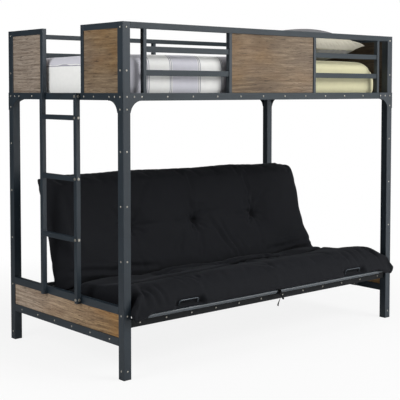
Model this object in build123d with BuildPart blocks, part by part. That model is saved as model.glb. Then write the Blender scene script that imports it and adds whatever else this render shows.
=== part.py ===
from build123d import *
import os
from math import cos, radians, sin, sqrt, tan

# A single bunk over a sofa that opens into a wide bed. Sizes are in millimetres.
# +X runs along the bed away from the ladder, +Y from the front to the back, +Z up.
# The origin is on the floor, below the middle of the whole bed, ladder and pads included.

# Overall size of the steel frame, over its four posts
bed_length = 2005
bed_depth = 1067
bed_height = 1706

# Steel tube
post_size = 44
tube_wall = 1.5
tube_corner = 2
rail_depth = 25

# Upper side rails and end rails, with the guards standing on them
guard_height = 336
upper_rail_height = 37
end_rail_height = 35

# Lower side rails, set back from the front and rear faces of the posts
lower_rail_top = 284
lower_rail_height = 38
lower_rail_depth = 30
lower_rail_setback = 12

# Slats under the upper mattress, one at each rivet of the side rails
slat_pitch = 163
slat_width = 60
slat_thickness = 15
ledge_width = 20
ledge_thickness = 2
ledge_drop = 35

# Guard rails round the upper mattress
guard_rail_height = 30
guard_stile_width = 20
guard_stile_inset = 131.5
panel_stile_x = 318
guard_bar_height = 28
guard_bar_depth = 18
lower_bar_rise = 97
upper_bar_rise = 209.5
rear_guard_drop = 9
rear_guard_rail_height = 25

# Wood panels
wood_thickness = 15
wood_setback = 5
entry_width = 356
entry_stile_width = 25

# Lower end panels
panel_rail_top = 350
panel_rail_height = 38
panel_wood_height = 112
panel_foot_rail_height = 40

# Caps and floor plugs of the posts
cap_thickness = 2
plug_flange = 4
plug_stem = 20
plug_fit = 0.2

# Corner gussets under the upper rails
gusset_thickness = 2
gusset_reach = 73
gusset_drop = 57

# Rivets
rivet_radius = 5
rivet_height = 2.5
rivet_low = 42
post_rivet_shares = (0.181, 0.3335, 0.4877, 0.6401, 0.8652, 0.9848)
gusset_foot_rivet = 41
end_rivet_near = 205
end_rivet_far = 290
foot_rivet_near = 82
foot_rivet_pitch = 166

# Ladder on the outside of the left end
ladder_tube = 25
ladder_half_span = 160
rung_shares = (0.304348, 0.593573, 0.882798)
bolt_head_radius = 7
bolt_head_height = 4
bolt_corner = 1.5

# Folding sofa deck, carried on the lower front rail and by pins in slotted guide plates
deck_tube = 22
deck_tube_wall = 1.5
front_tube = 25.4
front_stub = 16
front_stub_length = 70
front_tube_reach = 11.5
deck_end_gap = 17
side_tube_inset = 97.5
hinge_y = 180
back_angle = 72
rear_tube_offset = 32
back_tube_reach = 620
glide_thickness = 2
glide_width = 30
running_gap = 0.3
wire = 5
weld_sink = 0.5
long_wire_count = 5
seat_cross_wire_count = 13
weld_gap = 0.1

# Hinge brackets, levers, pins and bushes at each end of the deck
bracket_thickness = 5
bracket_half_width = 12
bracket_inset = 72.5
bracket_gap = 2
pin_radius = 5
pin_clearance = 0.06
lever_reach = 100
bush_radius = 8
bush_flange_radius = 11
bush_flange = 2.5
bush_gap = 0.5

# Slotted guide plates on the lower end panels
guide_thickness = 3
guide_gap = 2
slot_clearance = 0.3
guide_rim = 7
guide_end = 22
guide_foot = 12
spacer_radius = 8
guide_bolt_radius = 3
guide_bolt_head = 6.5
guide_bolt_head_height = 4

# Brackets on the lower rear rail that carry the opened back
rest_x = 450
rest_width = 50
rest_plate = 3
rest_leg = 33
rest_reach = 51.5
rest_overlap = 18

# Sofa pad, in a seat and a back cut apart at the fold
pad_end_inset = 52.5
pad_thickness = 120
seat_pad_reach = 51.5
back_pad_reach = 25
pad_nose = 34
fold_gap = 2
wing_end_inset = 12.5
wing_root = 44
wing_gap = 3
tuft_spacing = 480
tuft_radius = 70
tuft_depth = 14
back_tuft_reach = 290

# Wire hoops that keep the pad from sliding off, and the pad's tie
hoop_x = 622
hoop_width = 128
hoop_height = 43
hoop_wire = 5
hoop_bend = 12
hoop_clearance = 8
hoop_angle = 69
tie_x = 32
tie_band_width = 14
tie_thickness = 1.5
tie_knot_width = 16
tie_knot_height = 12
tie_tail_width = 9
long_tail = 72
short_tail = 42
tail_spread = 22

# Bedding on the upper bunk
mattress_end_inset = 62.5
mattress_side_inset = 55.5
mattress_thickness = 200
mattress_shift = -10
sheet_thickness = 1.5
blanket_thickness = 5
cover_gap = 0.3
sheet_hem = 4
blanket_end_x = 190
blanket_hem = 12
pillow_length = 650
pillow_width = 430
lower_pillow_thickness = 117
upper_pillow_thickness = 88
lower_pillow_inset = 367.5
lower_pillow_y = -105
upper_pillow_inset = 267.5
upper_pillow_y = 60
lower_pillow_settle = 1
upper_pillow_settle = 7.5

# Thickness and reach of a pad at places from its middle to its end
pad_station_shares = (0, 0.5, 0.75, 0.95, 1)
pad_low_shares = (0, 0, 0.01, 0.06, 0.24)
pad_crest_shares = (1, 0.99, 0.97, 0.88, 0.70)
pad_length_shares = (1, 1, 0.998, 0.99, 0.965)
pad_nose_share = 0.78
pad_fold_share = 0.56
pad_crest_place_share = 0.55
wing_station_shares = (1, 0.25, 0)
wing_low_shares = (0.12, 0.2, 0.34)
wing_high_shares = (0.76, 0.72, 0.56)
wing_reach_shares = (1, 0.99, 0.97)

# Height and width of a mattress, and of a pillow, from the middle to the end
slab_station_shares = (0, 0.6, 0.9, 0.975, 1)
slab_low_shares = (0, 0, 0, 0.04, 0.14)
slab_high_shares = (1, 1, 0.995, 0.95, 0.84)
slab_width_shares = (1, 1, 1, 0.99, 0.965)
slab_foot_share = 0.97
slab_side_share = 0.5
slab_shoulder_share = 0.93
pillow_station_shares = (0, 0.35, 0.7, 0.9, 1)
pillow_low_shares = (0, 0.02, 0.12, 0.29, 0.46)
pillow_high_shares = (1, 0.98, 0.88, 0.71, 0.54)
pillow_width_shares = (1, 1, 0.985, 0.97, 0.98)

# Places worked out from the sizes above
half_length = bed_length / 2
half_depth = bed_depth / 2
inner_x = half_length - post_size
inner_y = half_depth - post_size
post_mid_x = half_length - post_size / 2
post_mid_y = half_depth - post_size / 2
upper_rail_top = bed_height - guard_height
upper_rail_z = upper_rail_top - upper_rail_height / 2
upper_rail_foot = upper_rail_top - upper_rail_height
end_rail_z = upper_rail_top - end_rail_height / 2
lower_rail_z = lower_rail_top - lower_rail_height / 2
guard_foot = bed_height - guard_rail_height
guard_stile_x = half_length - guard_stile_inset
rear_guard_top = bed_height - rear_guard_drop
panel_wood_top = panel_rail_top - panel_rail_height
panel_wood_foot = panel_wood_top - panel_wood_height
panel_foot = panel_wood_foot - panel_foot_rail_height
wood_inner_x = half_length - wood_setback - wood_thickness
panel_inner_x = half_length - rail_depth
ladder_mid_x = half_length + ladder_tube / 2
ladder_out_x = half_length + ladder_tube
deck_height = lower_rail_top + glide_thickness + running_gap + deck_tube / 2
front_tube_y = -(half_depth + front_tube_reach)
side_tube_x = half_length - side_tube_inset
rear_rail_inner_y = half_depth - lower_rail_setback - lower_rail_depth
opened_tube_y = rear_rail_inner_y - rest_reach
slide_travel = hinge_y + back_tube_reach - opened_tube_y
fold_angle = radians(back_angle)
fold_slope = tan((radians(180) - fold_angle) / 2)
bracket_x = half_length - bracket_inset
lever_x = bracket_x + bracket_thickness + bracket_gap
lever_out_x = lever_x + bracket_thickness
guide_x = lever_out_x + guide_gap + bush_gap
guide_out_x = guide_x + guide_thickness
bush_x = lever_out_x + bush_gap
bush_flange_x = guide_out_x + bush_gap
pin_end_x = bush_flange_x + bush_flange
slot_radius = bush_radius + slot_clearance
seat_pad_length = hinge_y + half_depth + seat_pad_reach
back_pad_length = back_tube_reach + back_pad_reach
pad_half_width = half_length - pad_end_inset
wing_half_width = half_length - wing_end_inset
mattress_half_length = half_length - mattress_end_inset
mattress_half_width = half_depth - mattress_side_inset
slats_each_side = int((inner_x - gusset_reach) / slat_pitch + 1 / 2)
lower_rivets_each_side = int(inner_x / slat_pitch + 1 / 2)
slat_top = upper_rail_top - ledge_drop + ledge_thickness + slat_thickness

# The frame's middle stands off the origin, because the ladder and the seat pad stick out
left_reach = ladder_tube + bolt_head_height
right_reach = gusset_thickness + rivet_height
frame_x = (left_reach - right_reach) / 2
frame_y = (seat_pad_reach - right_reach) / 2

# Floor plan; front view with x along the bed and y up; end view with x to the rear
floor = Plane(origin=(frame_x, frame_y, 0))
elevation = Plane(origin=(frame_x, frame_y, 0), x_dir=(1, 0, 0), z_dir=(0, -1, 0))
section = Plane(origin=(frame_x, frame_y, 0), x_dir=(0, 1, 0), z_dir=(1, 0, 0))

# Views along the bed onto the two decks, x away from the hinge and y off the deck.
# The seat's view looks the other way, so a place at X lies at -X of it.
hinge_point = (frame_x, frame_y + hinge_y, deck_height)
seat_view = Plane(origin=hinge_point, x_dir=(0, -1, 0), z_dir=(-1, 0, 0))
back_view = Plane(
    origin=hinge_point, x_dir=(0, cos(fold_angle), sin(fold_angle)), z_dir=(1, 0, 0)
)

os.makedirs("parts", exist_ok=True)


# Helpers that add to the part being built
def rounded_tube(width, depth, wall):
    """Draw the section of a tube with rounded corners."""
    RectangleRounded(width, depth, tube_corner)
    inner_corner = max(tube_corner - wall, tube_corner / 4)
    RectangleRounded(width - 2 * wall, depth - 2 * wall, inner_corner, mode=Mode.SUBTRACT)


def tube_up(x, y, bottom, top, width, depth):
    """Stand a tube on end."""
    with BuildSketch(floor.offset(bottom)) as outline:
        with Locations((x, y)):
            rounded_tube(width, depth, tube_wall)
    extrude(outline.sketch, amount=top - bottom)


def tube_along_x(start, end, y, z, depth, height):
    """Lay a tube along the bed."""
    with BuildSketch(section.offset(start)) as outline:
        with Locations((y, z)):
            rounded_tube(depth, height, tube_wall)
    extrude(outline.sketch, amount=end - start)


def tube_along_y(start, end, x, z, width, height):
    """Lay a tube from the front towards the rear."""
    with BuildSketch(elevation.offset(-end)) as outline:
        with Locations((x, z)):
            rounded_tube(width, height, tube_wall)
    extrude(outline.sketch, amount=end - start)


def block_up(x, y, bottom, top, width, depth, corner=0, mode=Mode.ADD):
    """Stand a block, with its upright edges rounded where a corner is given."""
    with BuildSketch(floor.offset(bottom)) as outline:
        with Locations((x, y)):
            if corner:
                RectangleRounded(width, depth, corner)
            else:
                Rectangle(width, depth)
    extrude(outline.sketch, amount=top - bottom, mode=mode)


def disc(view, near, far, x, y, radius, mode=Mode.ADD):
    """Run a round bar along a view's normal, between two distances from it."""
    with BuildSketch(view.offset(near)) as outline:
        with Locations((x, y)):
            Circle(radius)
    extrude(outline.sketch, amount=far - near, mode=mode)


def round_tube(view, near, far, x, y, diameter, wall):
    """Run a round tube along a view's normal."""
    with BuildSketch(view.offset(near)) as outline:
        with Locations((x, y)):
            Circle(diameter / 2)
            Circle(diameter / 2 - wall, mode=Mode.SUBTRACT)
    extrude(outline.sketch, amount=far - near)


def finish(piece, name):
    """Label a piece and write it."""
    piece.part.label = name
    export_step(piece.part, f"parts/{name}.step")


# Posts, with their caps and floor plugs
for face, side_y in (("front", -1), ("rear", 1)):
    for end, side_x in (("left", -1), ("right", 1)):
        with BuildPart() as post:
            tube_up(
                side_x * post_mid_x, side_y * post_mid_y,
                plug_flange, bed_height, post_size, post_size,
            )
        finish(post, f"post_{face}_{end}")

post_mouth = post_size - 2 * tube_wall
mouth_corner = max(tube_corner - tube_wall, tube_corner / 4)
with BuildPart() as post_caps:
    for side_x in (-1, 1):
        for side_y in (-1, 1):
            block_up(
                side_x * post_mid_x, side_y * post_mid_y,
                bed_height - cap_thickness, bed_height, post_mouth, post_mouth, mouth_corner,
            )
finish(post_caps, "post_caps")

with BuildPart() as foot_plugs:
    for side_x in (-1, 1):
        for side_y in (-1, 1):
            block_up(
                side_x * post_mid_x, side_y * post_mid_y,
                0, plug_flange, post_size, post_size, tube_corner,
            )
            block_up(
                side_x * post_mid_x, side_y * post_mid_y, plug_flange,
                plug_flange + plug_stem, post_mouth - 2 * plug_fit, post_mouth - 2 * plug_fit,
            )
finish(foot_plugs, "foot_plugs")

# Side rails between the posts
for face, side_y in (("front", -1), ("rear", 1)):
    with BuildPart() as upper_side_rail:
        tube_along_x(
            -inner_x, inner_x, side_y * (half_depth - rail_depth / 2), upper_rail_z,
            rail_depth, upper_rail_height,
        )
    finish(upper_side_rail, f"upper_side_rail_{face}")

    lower_rail_y = side_y * (half_depth - lower_rail_setback - lower_rail_depth / 2)
    with BuildPart() as lower_side_rail:
        tube_along_x(
            -inner_x, inner_x, lower_rail_y, lower_rail_z, lower_rail_depth, lower_rail_height
        )
    finish(lower_side_rail, f"lower_side_rail_{face}")

with BuildPart() as upper_end_rails:
    for side_x in (-1, 1):
        tube_along_y(
            -inner_y, inner_y, side_x * (half_length - rail_depth / 2), end_rail_z,
            rail_depth, end_rail_height,
        )
finish(upper_end_rails, "upper_end_rails")

# Ledges inside the upper side rails, and the slats that lie on them
ledge_outer_y = half_depth - rail_depth
ledge_foot = upper_rail_top - ledge_drop
with BuildPart() as slat_ledges:
    for side_y in (-1, 1):
        with BuildSketch(section.offset(-inner_x)) as outline:
            with Locations((side_y * (ledge_outer_y - ledge_width / 2), ledge_foot + ledge_thickness / 2)):
                Rectangle(ledge_width, ledge_thickness)
            with Locations((side_y * (ledge_outer_y - ledge_thickness / 2), ledge_foot + ledge_width / 2)):
                Rectangle(ledge_thickness, ledge_width)
        extrude(outline.sketch, amount=2 * inner_x)
finish(slat_ledges, "slat_ledges")

slat_reach = ledge_outer_y - ledge_thickness - running_gap
with BuildPart() as bunk_slats:
    for number in range(-slats_each_side, slats_each_side):
        slat_x = (number + 1 / 2) * slat_pitch
        tube_along_y(
            -slat_reach, slat_reach, slat_x, slat_top - slat_thickness / 2,
            slat_width, slat_thickness,
        )
finish(bunk_slats, "bunk_slats")

# Front guard: a top rail, four stiles, two bars each side and a wood panel between
guard_y = -(half_depth - rail_depth / 2)
with BuildPart() as front_guard_rail:
    tube_along_x(
        -inner_x, inner_x, guard_y, bed_height - guard_rail_height / 2,
        rail_depth, guard_rail_height,
    )
finish(front_guard_rail, "front_guard_rail")

with BuildPart() as front_guard_stiles:
    for stile_x in (guard_stile_x, panel_stile_x):
        for side_x in (-1, 1):
            tube_up(
                side_x * stile_x, guard_y, upper_rail_top, guard_foot,
                guard_stile_width, rail_depth,
            )
finish(front_guard_stiles, "front_guard_stiles")

bar_start = panel_stile_x + guard_stile_width / 2
bar_end = guard_stile_x - guard_stile_width / 2
with BuildPart() as front_guard_bars:
    for rise in (lower_bar_rise, upper_bar_rise):
        for start, end in ((-bar_end, -bar_start), (bar_start, bar_end)):
            tube_along_x(start, end, guard_y, upper_rail_top + rise, guard_bar_depth, guard_bar_height)
finish(front_guard_bars, "front_guard_bars")

front_panel_half = panel_stile_x - guard_stile_width / 2
front_panel_y = -(half_depth - wood_setback - wood_thickness / 2)
with BuildPart() as front_wood_panel:
    block_up(0, front_panel_y, upper_rail_top, guard_foot, 2 * front_panel_half, wood_thickness)
finish(front_wood_panel, "front_wood_panel")

# Rear guard: a top rail, three stiles and four bars
rear_guard_foot = rear_guard_top - rear_guard_rail_height
with BuildPart() as rear_guard_rail:
    tube_along_x(
        -inner_x, inner_x, -guard_y, rear_guard_top - rear_guard_rail_height / 2,
        rail_depth, rear_guard_rail_height,
    )
finish(rear_guard_rail, "rear_guard_rail")

with BuildPart() as rear_guard_stiles:
    for stile_x in (-guard_stile_x, 0, guard_stile_x):
        tube_up(stile_x, -guard_y, upper_rail_top, rear_guard_foot, guard_stile_width, rail_depth)
finish(rear_guard_stiles, "rear_guard_stiles")

with BuildPart() as rear_guard_bars:
    for rise in (lower_bar_rise, upper_bar_rise):
        for start, end in ((-bar_end, -guard_stile_width / 2), (guard_stile_width / 2, bar_end)):
            tube_along_x(start, end, -guard_y, upper_rail_top + rise, guard_bar_depth, guard_bar_height)
finish(rear_guard_bars, "rear_guard_bars")

# Left end guard, open in the middle for the way in from the ladder
end_guard_x = half_length - rail_depth / 2
entry_half = entry_width / 2
left_panel_start = entry_half + entry_stile_width
left_panel_mid = (left_panel_start + inner_y) / 2
end_wood_x = half_length - wood_setback - wood_thickness / 2
with BuildPart() as left_guard_rails:
    for start, end in ((-inner_y, -left_panel_start), (left_panel_start, inner_y)):
        tube_along_y(
            start, end, -end_guard_x, bed_height - guard_rail_height / 2,
            rail_depth, guard_rail_height,
        )
finish(left_guard_rails, "left_guard_rails")

with BuildPart() as left_guard_stiles:
    for side_y in (-1, 1):
        stile_y = side_y * (entry_half + entry_stile_width / 2)
        tube_up(-end_guard_x, stile_y, upper_rail_top, bed_height, rail_depth, entry_stile_width)
        # A welded plate closes the stile's top end
        block_up(
            -end_guard_x, stile_y, bed_height - tube_wall, bed_height,
            rail_depth, entry_stile_width, tube_corner,
        )
finish(left_guard_stiles, "left_guard_stiles")

with BuildPart() as left_wood_panels:
    for side_y in (-1, 1):
        block_up(
            -end_wood_x, side_y * left_panel_mid, upper_rail_top, guard_foot,
            wood_thickness, inner_y - left_panel_start,
        )
finish(left_wood_panels, "left_wood_panels")

# Right end guard, closed by one wood panel
with BuildPart() as right_guard_rail:
    tube_along_y(
        -inner_y, inner_y, end_guard_x, bed_height - guard_rail_height / 2,
        rail_depth, guard_rail_height,
    )
finish(right_guard_rail, "right_guard_rail")

with BuildPart() as right_wood_panel:
    block_up(end_wood_x, 0, upper_rail_top, guard_foot, wood_thickness, 2 * inner_y)
finish(right_wood_panel, "right_wood_panel")

# Lower end panels: a wood board between two rails at each end
with BuildPart() as panel_top_rails:
    for side_x in (-1, 1):
        tube_along_y(
            -inner_y, inner_y, side_x * end_guard_x, panel_rail_top - panel_rail_height / 2,
            rail_depth, panel_rail_height,
        )
finish(panel_top_rails, "panel_top_rails")

guide_half_front = hinge_y - slide_travel - lever_reach - guide_end
guide_half_rear = hinge_y + slot_radius + guide_end
panel_foot_rail_z = panel_wood_foot - panel_foot_rail_height / 2
with BuildPart() as panel_foot_rails:
    for side_x in (-1, 1):
        tube_along_y(
            -inner_y, inner_y, side_x * end_guard_x, panel_foot_rail_z,
            rail_depth, panel_foot_rail_height,
        )
    for place_y in (guide_half_front, guide_half_rear):
        for near, far in ((-half_length + tube_wall, -panel_inner_x), (panel_inner_x, half_length - tube_wall)):
            disc(section, near, far, place_y, panel_foot_rail_z, guide_bolt_radius, Mode.SUBTRACT)
finish(panel_foot_rails, "panel_foot_rails")

with BuildPart() as lower_wood_panels:
    for side_x in (-1, 1):
        block_up(
            side_x * end_wood_x, 0, panel_wood_foot, panel_wood_top, wood_thickness, 2 * inner_y
        )
    for place_y in (guide_half_front, guide_half_rear):
        for side_x in (-1, 1):
            near = min(side_x * wood_inner_x, side_x * (wood_inner_x + wood_thickness / 2))
            disc(
                section, near, near + wood_thickness / 2, place_y, deck_height,
                guide_bolt_radius, Mode.SUBTRACT,
            )
finish(lower_wood_panels, "lower_wood_panels")


# Corner gussets: flat plates with a hollow curve, over each post and its upper rail
def gusset_outline(post_edge, post_inner):
    """Draw a gusset in a view whose x grows towards the post."""
    foot = upper_rail_foot - gusset_drop
    curve_share = 1 - sqrt(2) / 2
    with BuildLine() as edge:
        Polyline(
            (post_inner, foot), (post_edge, foot), (post_edge, upper_rail_top),
            (post_inner - gusset_reach, upper_rail_top),
            (post_inner - gusset_reach, upper_rail_foot),
        )
        ThreePointArc(
            (post_inner - gusset_reach, upper_rail_foot),
            (post_inner - gusset_reach * curve_share, upper_rail_foot - gusset_drop * curve_share),
            (post_inner, foot),
        )
    make_face(edge.line.edges())


with BuildPart() as corner_gussets:
    with BuildSketch(elevation.offset(half_depth)) as front_gusset:
        gusset_outline(half_length, inner_x)
        mirror(about=Plane.YZ)
    extrude(front_gusset.sketch, amount=gusset_thickness)
    with BuildSketch(section.offset(half_length)) as end_gusset:
        gusset_outline(half_depth, inner_y)
        mirror(about=Plane.YZ)
    extrude(end_gusset.sketch, amount=gusset_thickness)
    mirror(about=floor.rotated((90, 0, 0)))
    mirror(about=section)
finish(corner_gussets, "corner_gussets")

# Rivets: low domes on the outer faces
dome_radius = (rivet_radius**2 + rivet_height**2) / (2 * rivet_height)
with BuildPart(mode=Mode.PRIVATE) as rivet:
    with BuildSketch(Plane.XZ) as outline:
        with BuildLine():
            Polyline((0, rivet_height), (0, 0), (rivet_radius, 0))
            RadiusArc((rivet_radius, 0), (0, rivet_height), -dome_radius)
        make_face()
    revolve(axis=Axis.Z)


def rivet_rows():
    """List every rivet as a view, a distance off it, and a place in it."""
    rows = []
    gusset_z = (upper_rail_top + upper_rail_foot) / 2
    gusset_foot_z = upper_rail_foot - gusset_foot_rivet
    plain_heights = [rivet_low] + [share * bed_height for share in post_rivet_shares]
    for side in (-1, 1):
        for end in (-1, 1):
            for height in plain_heights:
                rows.append(("side", side, half_depth, end * post_mid_x, height))
                rows.append(("end", side, half_length, end * post_mid_y, height))
            for shift in (0, -post_size, -2 * post_size):
                rows.append(("side", side, half_depth + gusset_thickness, end * (post_mid_x + shift), gusset_z))
                rows.append(("end", side, half_length + gusset_thickness, end * (post_mid_y + shift), gusset_z))
            rows.append(("side", side, half_depth + gusset_thickness, end * post_mid_x, gusset_foot_z))
            rows.append(("end", side, half_length + gusset_thickness, end * post_mid_y, gusset_foot_z))
            for number in range(slats_each_side):
                place = end * (number + 1 / 2) * slat_pitch
                rows.append(("side", side, half_depth, place, upper_rail_z))
            for number in range(lower_rivets_each_side):
                place = end * (number + 1 / 2) * slat_pitch
                rows.append(("side", side, half_depth - lower_rail_setback, place, lower_rail_z))
            for place in (end_rivet_near, end_rivet_far):
                rows.append(("end", side, half_length, end * place, end_rail_z))
            for number in range(3):
                place = end * (foot_rivet_near + number * foot_rivet_pitch)
                rows.append(("end", side, half_length, place, panel_foot_rail_z))
    return rows


rivet_views = {
    ("side", -1): elevation,
    ("side", 1): Plane(origin=elevation.origin, x_dir=(-1, 0, 0), z_dir=(0, 1, 0)),
    ("end", 1): section,
    ("end", -1): Plane(origin=section.origin, x_dir=(0, -1, 0), z_dir=(-1, 0, 0)),
}
with BuildPart() as rivets:
    spots = []
    for kind, side, distance, place, height in rivet_rows():
        spots.append(rivet_views[(kind, side)].offset(distance) * Pos(place, height))
    with Locations(spots):
        add(rivet.part)
finish(rivets, "rivets")

# Ladder: two tubes on the outside of the left end, three rungs and their bolts
ladder_foot = panel_wood_top
rung_heights = [ladder_foot + share * (upper_rail_top - ladder_foot) for share in rung_shares]
with BuildPart() as ladder_rails:
    for side_y in (-1, 1):
        tube_up(
            -ladder_mid_x, side_y * ladder_half_span, ladder_foot, upper_rail_top,
            ladder_tube, ladder_tube,
        )
finish(ladder_rails, "ladder_rails")

rung_half = ladder_half_span - ladder_tube / 2
with BuildPart() as ladder_rungs:
    for height in rung_heights:
        tube_along_y(-rung_half, rung_half, -ladder_mid_x, height, ladder_tube, ladder_tube)
finish(ladder_rungs, "ladder_rungs")


def bolt_head(view, distance, x, y):
    """Add a bolt head with a rounded edge to the face at that distance."""
    with BuildPart(view.offset(distance), mode=Mode.PRIVATE) as head:
        with Locations((x, y)):
            Cylinder(
                bolt_head_radius, bolt_head_height,
                align=(Align.CENTER, Align.CENTER, Align.MIN),
            )
        fillet(head.edges().filter_by(GeomType.CIRCLE).sort_by(Axis(view.origin, view.z_dir))[-1], bolt_corner)
    add(head.part)


left_view = rivet_views[("end", -1)]
rear_view = rivet_views[("side", 1)]
ladder_bolt_heights = [panel_rail_top - panel_rail_height / 2] + rung_heights + [end_rail_z]
with BuildPart() as ladder_bolts:
    for height in ladder_bolt_heights:
        bolt_head(left_view, ladder_out_x, ladder_half_span, height)
        bolt_head(elevation, ladder_half_span + ladder_tube / 2, -ladder_mid_x, height)
        bolt_head(rear_view, ladder_half_span + ladder_tube / 2, ladder_mid_x, height)
finish(ladder_bolts, "ladder_bolts")


# Guide plates: the hinge pin runs in the straight slot and the lever's pin in the curve
def lever_place(opened_share):
    """Where the lever's pin is when that share of the travel is done."""
    angle = fold_angle * (1 - opened_share)
    return (
        hinge_y - slide_travel * opened_share - lever_reach * cos(angle),
        deck_height - lever_reach * sin(angle),
    )


guide_foot_z = panel_foot_rail_z - guide_foot
guide_top_z = deck_height + slot_radius + guide_rim
with BuildPart() as guide_plates:
    with BuildSketch(section.offset(guide_x)) as plate:
        with BuildLine():
            Polyline(
                (guide_half_front - guide_foot, guide_foot_z),
                (guide_half_rear + guide_foot, guide_foot_z),
                (guide_half_rear + guide_foot, guide_top_z),
                (guide_half_front - guide_foot, guide_top_z),
                close=True,
            )
        make_face()
        fillet(plate.vertices(), guide_foot / 2)
        with Locations((hinge_y - slide_travel / 2, deck_height)):
            SlotCenterToCenter(slide_travel, 2 * slot_radius, mode=Mode.SUBTRACT)
        with BuildSketch(mode=Mode.PRIVATE) as curve:
            with BuildLine() as lever_path:
                ThreePointArc(lever_place(0), lever_place(0.25), lever_place(0.5))
                ThreePointArc(lever_place(0.5), lever_place(0.75), lever_place(1))
            trace(lever_path.line, 2 * slot_radius)
            with Locations(lever_place(0), lever_place(0.5), lever_place(1)):
                Circle(slot_radius)
        add(curve.sketch, mode=Mode.SUBTRACT)
        for place_y in (guide_half_front, guide_half_rear):
            with Locations((place_y, panel_foot_rail_z), (place_y, deck_height)):
                Circle(guide_bolt_radius, mode=Mode.SUBTRACT)
    extrude(plate.sketch, amount=guide_thickness)
    mirror(about=section)
finish(guide_plates, "guide_plates")

with BuildPart() as guide_spacers:
    for place_y in (guide_half_front, guide_half_rear):
        for place_z, seat_x in ((panel_foot_rail_z, panel_inner_x), (deck_height, wood_inner_x)):
            disc(section, guide_out_x, seat_x, place_y, place_z, spacer_radius)
            disc(section, guide_out_x, seat_x, place_y, place_z, guide_bolt_radius, Mode.SUBTRACT)
    mirror(about=section)
finish(guide_spacers, "guide_spacers")

with BuildPart() as guide_bolts:
    for place_y in (guide_half_front, guide_half_rear):
        for place_z, bolt_end in (
            (panel_foot_rail_z, panel_inner_x + rail_depth / 2),
            (deck_height, wood_inner_x + wood_thickness / 2),
        ):
            disc(section, guide_x, bolt_end, place_y, place_z, guide_bolt_radius)
            disc(section, guide_x - guide_bolt_head_height, guide_x, place_y, place_z, guide_bolt_head)
    mirror(about=section)
finish(guide_bolts, "guide_bolts")

# Glide pads on the lower front rail, under the seat's side tubes
front_rail_y = -(half_depth - lower_rail_setback - lower_rail_depth / 2)
with BuildPart() as glide_pads:
    for side_x in (-1, 1):
        block_up(
            side_x * side_tube_x, front_rail_y, lower_rail_top,
            lower_rail_top + glide_thickness, glide_width, lower_rail_depth - 2 * tube_corner,
        )
finish(glide_pads, "glide_pads")

# Rest brackets on the lower rear rail, under the top tube of the opened back
rest_top = deck_height - deck_tube / 2 - running_gap
rest_front_y = opened_tube_y - rest_overlap
with BuildPart() as rest_brackets:
    for side_x in (-1, 1):
        block_up(
            side_x * rest_x, (rest_front_y + rear_rail_inner_y) / 2, rest_top - rest_plate,
            rest_top, rest_width, rear_rail_inner_y - rest_front_y,
        )
        block_up(
            side_x * rest_x, rear_rail_inner_y - rest_plate / 2, rest_top - rest_leg,
            rest_top - rest_plate, rest_width, rest_plate,
        )
finish(rest_brackets, "rest_brackets")

# Seat deck: front tube with thinner ends, side tubes and rear tube
front_tube_u = hinge_y - front_tube_y
front_tube_end = inner_x - deck_end_gap
with BuildPart() as seat_front_tube:
    shoulder = front_tube_end - front_stub_length
    round_tube(seat_view, -shoulder, shoulder, front_tube_u, 0, front_tube, deck_tube_wall)
    for near, far in ((-front_tube_end, -shoulder), (shoulder, front_tube_end)):
        round_tube(seat_view, near, far, front_tube_u, 0, front_stub, deck_tube_wall)
        inner = -shoulder if near < 0 else shoulder
        disc(seat_view, inner, inner + (tube_wall if near < 0 else -tube_wall), front_tube_u, 0, front_tube / 2)
finish(seat_front_tube, "seat_front_tube")

with BuildPart() as seat_rear_tube:
    round_tube(seat_view, -bracket_x, bracket_x, rear_tube_offset, 0, deck_tube, deck_tube_wall)
finish(seat_rear_tube, "seat_rear_tube")

with BuildPart() as back_lower_tube:
    round_tube(back_view, -lever_x, lever_x, rear_tube_offset, 0, deck_tube, deck_tube_wall)
finish(back_lower_tube, "back_lower_tube")

back_tube_end = side_tube_x + deck_tube / 2
with BuildPart() as back_top_tube:
    round_tube(back_view, -back_tube_end, back_tube_end, back_tube_reach, 0, deck_tube, deck_tube_wall)
finish(back_top_tube, "back_top_tube")


def side_tubes(view, start, end, start_radius, end_radius):
    """Add both side tubes of a deck, hollowed to sit against its cross tubes."""
    along = Plane(origin=view.origin, x_dir=view.z_dir, z_dir=view.x_dir)
    for side in (-1, 1):
        round_tube(along, start, end, side * side_tube_x, 0, deck_tube, deck_tube_wall)
    disc(view, -inner_x, inner_x, start, 0, start_radius, Mode.SUBTRACT)
    disc(view, -inner_x, inner_x, end, 0, end_radius, Mode.SUBTRACT)


front_tube_end_radius = front_stub / 2 if side_tube_x > front_tube_end - front_stub_length else front_tube / 2
with BuildPart() as seat_side_tubes:
    side_tubes(seat_view, rear_tube_offset, front_tube_u, deck_tube / 2, front_tube_end_radius)
finish(seat_side_tubes, "seat_side_tubes")

with BuildPart() as back_side_tubes:
    side_tubes(back_view, rear_tube_offset, back_tube_reach, deck_tube / 2, deck_tube / 2)
finish(back_side_tubes, "back_side_tubes")


def wire_mesh(view, start, end, start_radius, end_radius, cross_count):
    """Add a welded mesh: wires along the bed under wires across it."""
    along = Plane(origin=view.origin, x_dir=view.z_dir, z_dir=view.x_dir)
    cross_rise = deck_tube / 2 - wire / 2
    long_rise = cross_rise - wire + weld_sink
    first = start + start_radius + weld_gap
    last = end - end_radius - weld_gap
    half_run = side_tube_x - deck_tube / 2 - weld_gap
    for number in range(cross_count):
        place = (2 * (number + 1) / (cross_count + 1) - 1) * side_tube_x
        disc(along, first, last, place, cross_rise * along_sign(along, view), wire / 2)
    for number in range(long_wire_count):
        place = first + (last - first) * (number + 1) / (long_wire_count + 1)
        disc(view, -half_run, half_run, place, long_rise, wire / 2)


def along_sign(along, view):
    """Which way the deck's top is in a view along the deck."""
    return 1 if along.y_dir.dot(view.y_dir) > 0 else -1


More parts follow.
